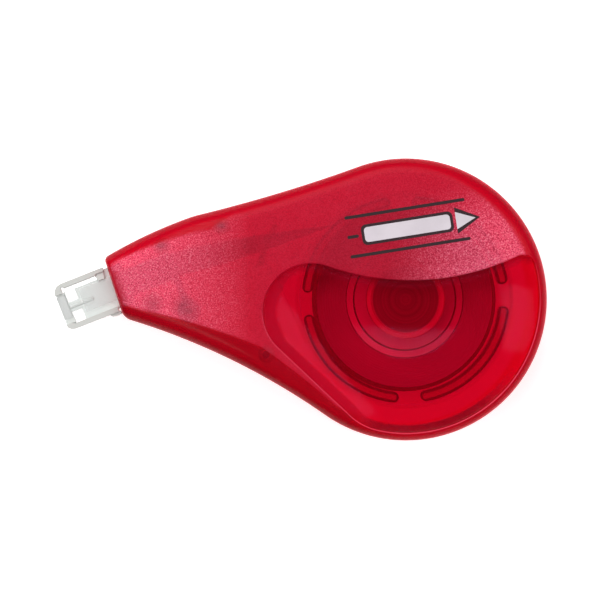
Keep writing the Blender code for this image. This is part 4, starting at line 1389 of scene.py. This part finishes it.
def window_masks():
    """How the front's edges, pane and frost look, as rim, lip and milky masks for every place.

    The rim mask is painted shade: on the rounded edge along the lower flank of the nose, in front of the
    frost, a painted shadow on the pane under the sagging edge, and a painted dark crescent inside the lower
    rim, which is wider and fainter round the lobe. The lip mask is a painted highlight where the lip's
    outside doesn't face +Y. The frost is paler above the window, towards +X.
    """
    rows = front_inner[::-1] + front_outer
    first_lip = len(rows) - front_sunk - 2 - lip_rows
    plan = np.stack([row[0] for row in rows])
    x = plan[:, :, 0]
    flat = plan.reshape(-1, 2)
    rise = np.stack([row[1] for row in rows]) + fall(x) - half_depth + edge_round
    below = x * mouth[1] / mouth[0] - plan[:, :, 1]
    # Painted shade on the rounded edge along the lower flank.
    flank = eased(below, 0.0, side_blend) * eased(-x, *flank_x) * eased(rise, 0.0, edge_round / 2)
    flank *= 1 - frost_on(flat).reshape(x.shape)
    left, facing = np.array([[-1], [1]]) * window_out.T
    away = nearest(flat, window_curve[::curve_skip]).reshape(x.shape)
    # A painted shadow under the sagging edge, and a painted dark crescent inside the lower rim.
    over = sag_painted_shadow * (1 - eased(away, *sag_fade)) * eased(facing, *sag_facing)
    leftward = eased(left, *left_facing)
    width = crescent_width + crescent_more * eased(left, *wide_facing)
    crescent = (crescent_painted_shade - crescent_less * leftward) * (1 - eased(away / width, *crescent_fade))
    crescent *= np.maximum(eased(-facing, *crescent_facing), leftward)
    rim = np.maximum(over, crescent)
    rim[:-front_sunk] = 0
    edge = slice(len(front_inner), first_lip)
    rim[edge] = flank_painted_shade * flank[edge]
    lip_line = np.zeros(away.shape)
    # A painted highlight on the lip where its outside doesn't face +Y.
    lip_line[first_lip:first_lip + lip_rows] = 1 - eased(facing, *lip_facing)
    milky = milk_share * (1 - eased(away, *milk_fade)) + milk_edge * (1 - eased(away, *milk_edge_fade))
    milky *= eased(x, *milk_x) * (facing > 0)
    return {"rim": rim, "lip": lip_line, "milky": milky}


for mask, values in window_masks().items():
    write_mask(front_case.data, mask, np.concatenate([values.reshape(-1), [0, 0]]))


def standing_pin(place, radius, low):
    """A part for turning: a solid pin from a height up to the front's ceiling, its lower edge broken."""
    high = 2 * parting - fall(place[0]) - wall
    return place, [(0, low), (radius - soft_edge, low), (radius, low + soft_edge), (radius, high), (0, high)]


pin_parts = [standing_pin(place, peg_radius, peg_low) for place in peg_places.values()]
pin_parts.append(standing_pin(guide_place, guide_radius, film_low - strip_gap))
inside_pins = turned_parts("pegs_and_guide_pin", pin_parts, pin_steps)


def chamber_rib(name):
    """A short upright rib: a box section carried along an arc about the reel axis."""
    turns = unit(np.linspace(rib_start, rib_end, rib_steps))
    low = film_high + strip_gap
    high = 2 * parting - wall
    section = [(rib_inner, low), (rib_outer, low), (rib_outer, high), (rib_inner, high)]
    corners = [raised(radius * turns, height) for radius, height in section]
    return solid(name, [np.stack(corners, axis=1)], block_sharp)


rib = chamber_rib("chamber_rib")
front_red = clear_red("front_case_red", case_tint, case_deep, **front_shares, depth=edge_depth)
front_case.data.materials.append(front_red)
pin_red = clear_red("inside_pin_red", case_tint, pin_deep, **pin_shares)
inside_pins.data.materials.append(pin_red)
rib.data.materials.append(pin_red)
for piece in (front_case, inside_pins, rib):
    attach(piece, "casing")
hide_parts("front_shell")

# Printed motif
# A plain screen print on the frosted face shows what the tape does: ruled lines, a white strip laid over
# one of them, and an arrow for the way it is pulled.
print_lift = 0.02
print_turn = math.radians(9)
print_place = np.array([0.2, 12.3])
line_length = 21.0
line_thickness = 0.55
line_pitch = 3.4
line_round = line_thickness / 2.1
strip_length = 15.0
strip_height = 2.6
strip_border = 0.5
strip_round = 0.6
border_round = 0.9
arrow_length = 3.4
arrow_half = 1.5
arrow_gap = 1.0
arrow_border = 1.6 * strip_border
bar_steps = 6
ink_dark = (0.03, 0.012, 0.016)
ink_white = (0.72, 0.65, 0.7)
ink_shade = 0.9
ink_skin = {"roughness": 0.45, "grain_scale": 3400.0, "depth": 0.00003}


def rounded_bar(length, height, radius):
    """The outline of a bar about the origin: four straight sides with quarter circles at the corners."""
    corners = []
    for start, side in enumerate(((1, 1), (-1, 1), (-1, -1), (1, -1))):
        middle = np.array([length / 2 - radius, height / 2 - radius]) * side
        corners.append(arc(middle, radius, start * quarter_turn, (start + 1) * quarter_turn, bar_steps))
    return np.concatenate(corners)


def arrow_head(length, half):
    """The outline of an arrow's head that points along +X from the end of the strip."""
    return np.array([[0.0, half], [length, 0.0], [0.0, -half]]) + [strip_length / 2 + arrow_gap, 0]


def printed(name, outlines, colour, low, high):
    """Flat shapes of ink from below the face to just above it, turned to the print's slope."""
    across = unit(print_turn)
    up = np.array([-across[1], across[0]])
    plans = [print_place + outline[:, :1] * across + outline[:, 1:] * up for outline in outlines]
    obj = prisms(name, plans, 2 * parting + low, 2 * parting + high)
    shade = tuple(ink_shade * part for part in colour)
    obj.data.materials.append(plain_plastic(name, colour, shade, **ink_skin))
    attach(obj, "casing")


full_line = rounded_bar(line_length, line_thickness, line_round)
short_length = (line_length - strip_length) / 2 - 2 * strip_border
short_line = rounded_bar(short_length, line_thickness, line_round) + [(short_length - line_length) / 2, 0]
ruled = [full_line + [0, line_pitch], full_line - [0, line_pitch], short_line]
wide_arrow = arrow_head(arrow_length + arrow_border, arrow_half + arrow_border)
border = rounded_bar(strip_length + 2 * strip_border, strip_height + 2 * strip_border, border_round)
white_shapes = [rounded_bar(strip_length, strip_height, strip_round), arrow_head(arrow_length, arrow_half)]
printed("printed_dark", [*ruled, border, wide_arrow], ink_dark, -print_lift, print_lift)
printed("printed_white", white_shapes, ink_white, 0.0, 2 * print_lift)

# Table, light and camera
# A near-white sheet under the dispenser, large soft boxes round it with a dark ceiling, and a camera
# with a long lens straight above.
floor_half = 900.0
floor_drop = -0.05
floor_white = (0.9, 0.9, 0.9, 1)
floor_rough = 0.9
floor_glow = 0.62
view_place = np.array([-18.37, -0.1])
view_field = 105.26
view_height = 8.0
lens = 200.0
sensor = 36.0
near_clip = 0.01
sheet_lift = 5.0
sheet_black = (0, 0, 0, 1)
sheet_cool = (0.6, 0.63, 1.0, 1)
veil_top = -5.0
veil_radius = 10.2
veil_count = 40
veil_glow = 10.0
strip_begin = np.array([-23.0, 2.2])
strip_end = np.array([-5.0, -19.9])
strip_width = 7.0
strip_glow = 7.0
side_outline = np.array([[16.2, 2.4], [21.8, 2.0], [22.6, -4.5], [20.6, -9.0], [16.8, -9.0]])
side_glow = 7.0
box_distance = 1.1
world_glow = 0.05
see_through_steps = 32
lens_distance = lens * view_field / sensor


def flat_sheet(name, look, corners, glow, **values):
    """A flat glowing sheet with these corners in millimetres. Its look is a material with these inputs."""
    mesh = bpy.data.meshes.new(name)
    mesh.from_pydata((corners * mm).tolist(), [], [list(range(len(corners)))])
    obj = bpy.data.objects.new(name, mesh)
    bpy.context.scene.collection.objects.link(obj)
    material, tree, shader = new_material(look)
    fill(tree, shader, Emission_Strength=glow, **values)
    mesh.materials.append(material)
    return obj


floor_corners = raised(floor_half * np.array([[-1, -1], [1, -1], [1, 1], [-1, 1]]), floor_drop)
floor_look = {"Base_Color": floor_white, "Roughness": floor_rough, "Emission_Color": open_white}
floor = flat_sheet("floor", "floor_white", floor_corners, floor_glow, **floor_look)


def soft_box(name, azimuth, elevation, size, power):
    """A square area light at an azimuth and elevation in degrees, turned to face the dispenser."""
    light = bpy.data.lights.new(name, "AREA")
    light.shape = "SQUARE"
    light.size = size
    light.energy = power
    obj = bpy.data.objects.new(name, light)
    out = spot(box_distance, azimuth) * math.cos(math.radians(elevation))
    obj.location = (out[0], out[1], math.sin(math.radians(elevation)) * box_distance)
    obj.rotation_euler = (math.radians(90 - elevation), 0, math.radians(azimuth + 90))
    bpy.context.scene.collection.objects.link(obj)


soft_box("top_box", azimuth=110, elevation=55, size=0.8, power=7.6)
soft_box("left_box", azimuth=195, elevation=50, size=0.7, power=4.8)
soft_box("right_box", azimuth=5, elevation=50, size=0.7, power=3.6)
soft_box("low_box", azimuth=275, elevation=48, size=0.7, power=0.6)


def hung_sheet(name, outline, strength):
    """A cool glowing sheet just above the camera, seen only as a faint reflection in the window.

    The outline is where the reflection lies on the pane. A ray from the camera leaves the sloping pane as
    from a mirror, so each point goes out by its distance from the camera's axis again and by twice the slope.
    """
    height = view_height + lens_distance - pane_high
    reach = height + sheet_lift
    plan = outline + (outline - view_place) * reach / height + np.array([0, 2 * pane_rise * reach])
    corners = raised(plan, pane_high + reach)
    obj = flat_sheet(name, name, corners, strength, Base_Color=sheet_black, Emission_Color=sheet_cool)


veil_turn = math.asin(veil_top / veil_radius)
veil = arc(axis_place, veil_radius, -half_turn - veil_turn, veil_turn, veil_count)
hung_sheet("veil_sheet", veil, veil_glow)
strip_line = np.stack([strip_begin, strip_end])
strip_outline = np.concatenate([strip_line, (strip_line - strip_width * left_normals(strip_line))[::-1]])
hung_sheet("strip_sheet", strip_outline, strip_glow)
hung_sheet("side_sheet", side_outline, side_glow)
world = bpy.data.worlds.new("studio")
world.use_nodes = True
fill(world.node_tree, world.node_tree.nodes["Background"], Color=open_white, Strength=world_glow)
scene = bpy.context.scene
scene.world = world
scene.view_settings.view_transform = "Standard"
scene.cycles.transparent_max_bounces = see_through_steps
camera_data = bpy.data.cameras.new("camera")
camera_data.lens = lens
camera_data.sensor_width = sensor
camera_data.clip_start = near_clip
camera = bpy.data.objects.new("camera", camera_data)
camera.location = (view_place[0] * mm, view_place[1] * mm, (view_height + lens_distance) * mm)
scene.collection.objects.link(camera)
scene.camera = camera
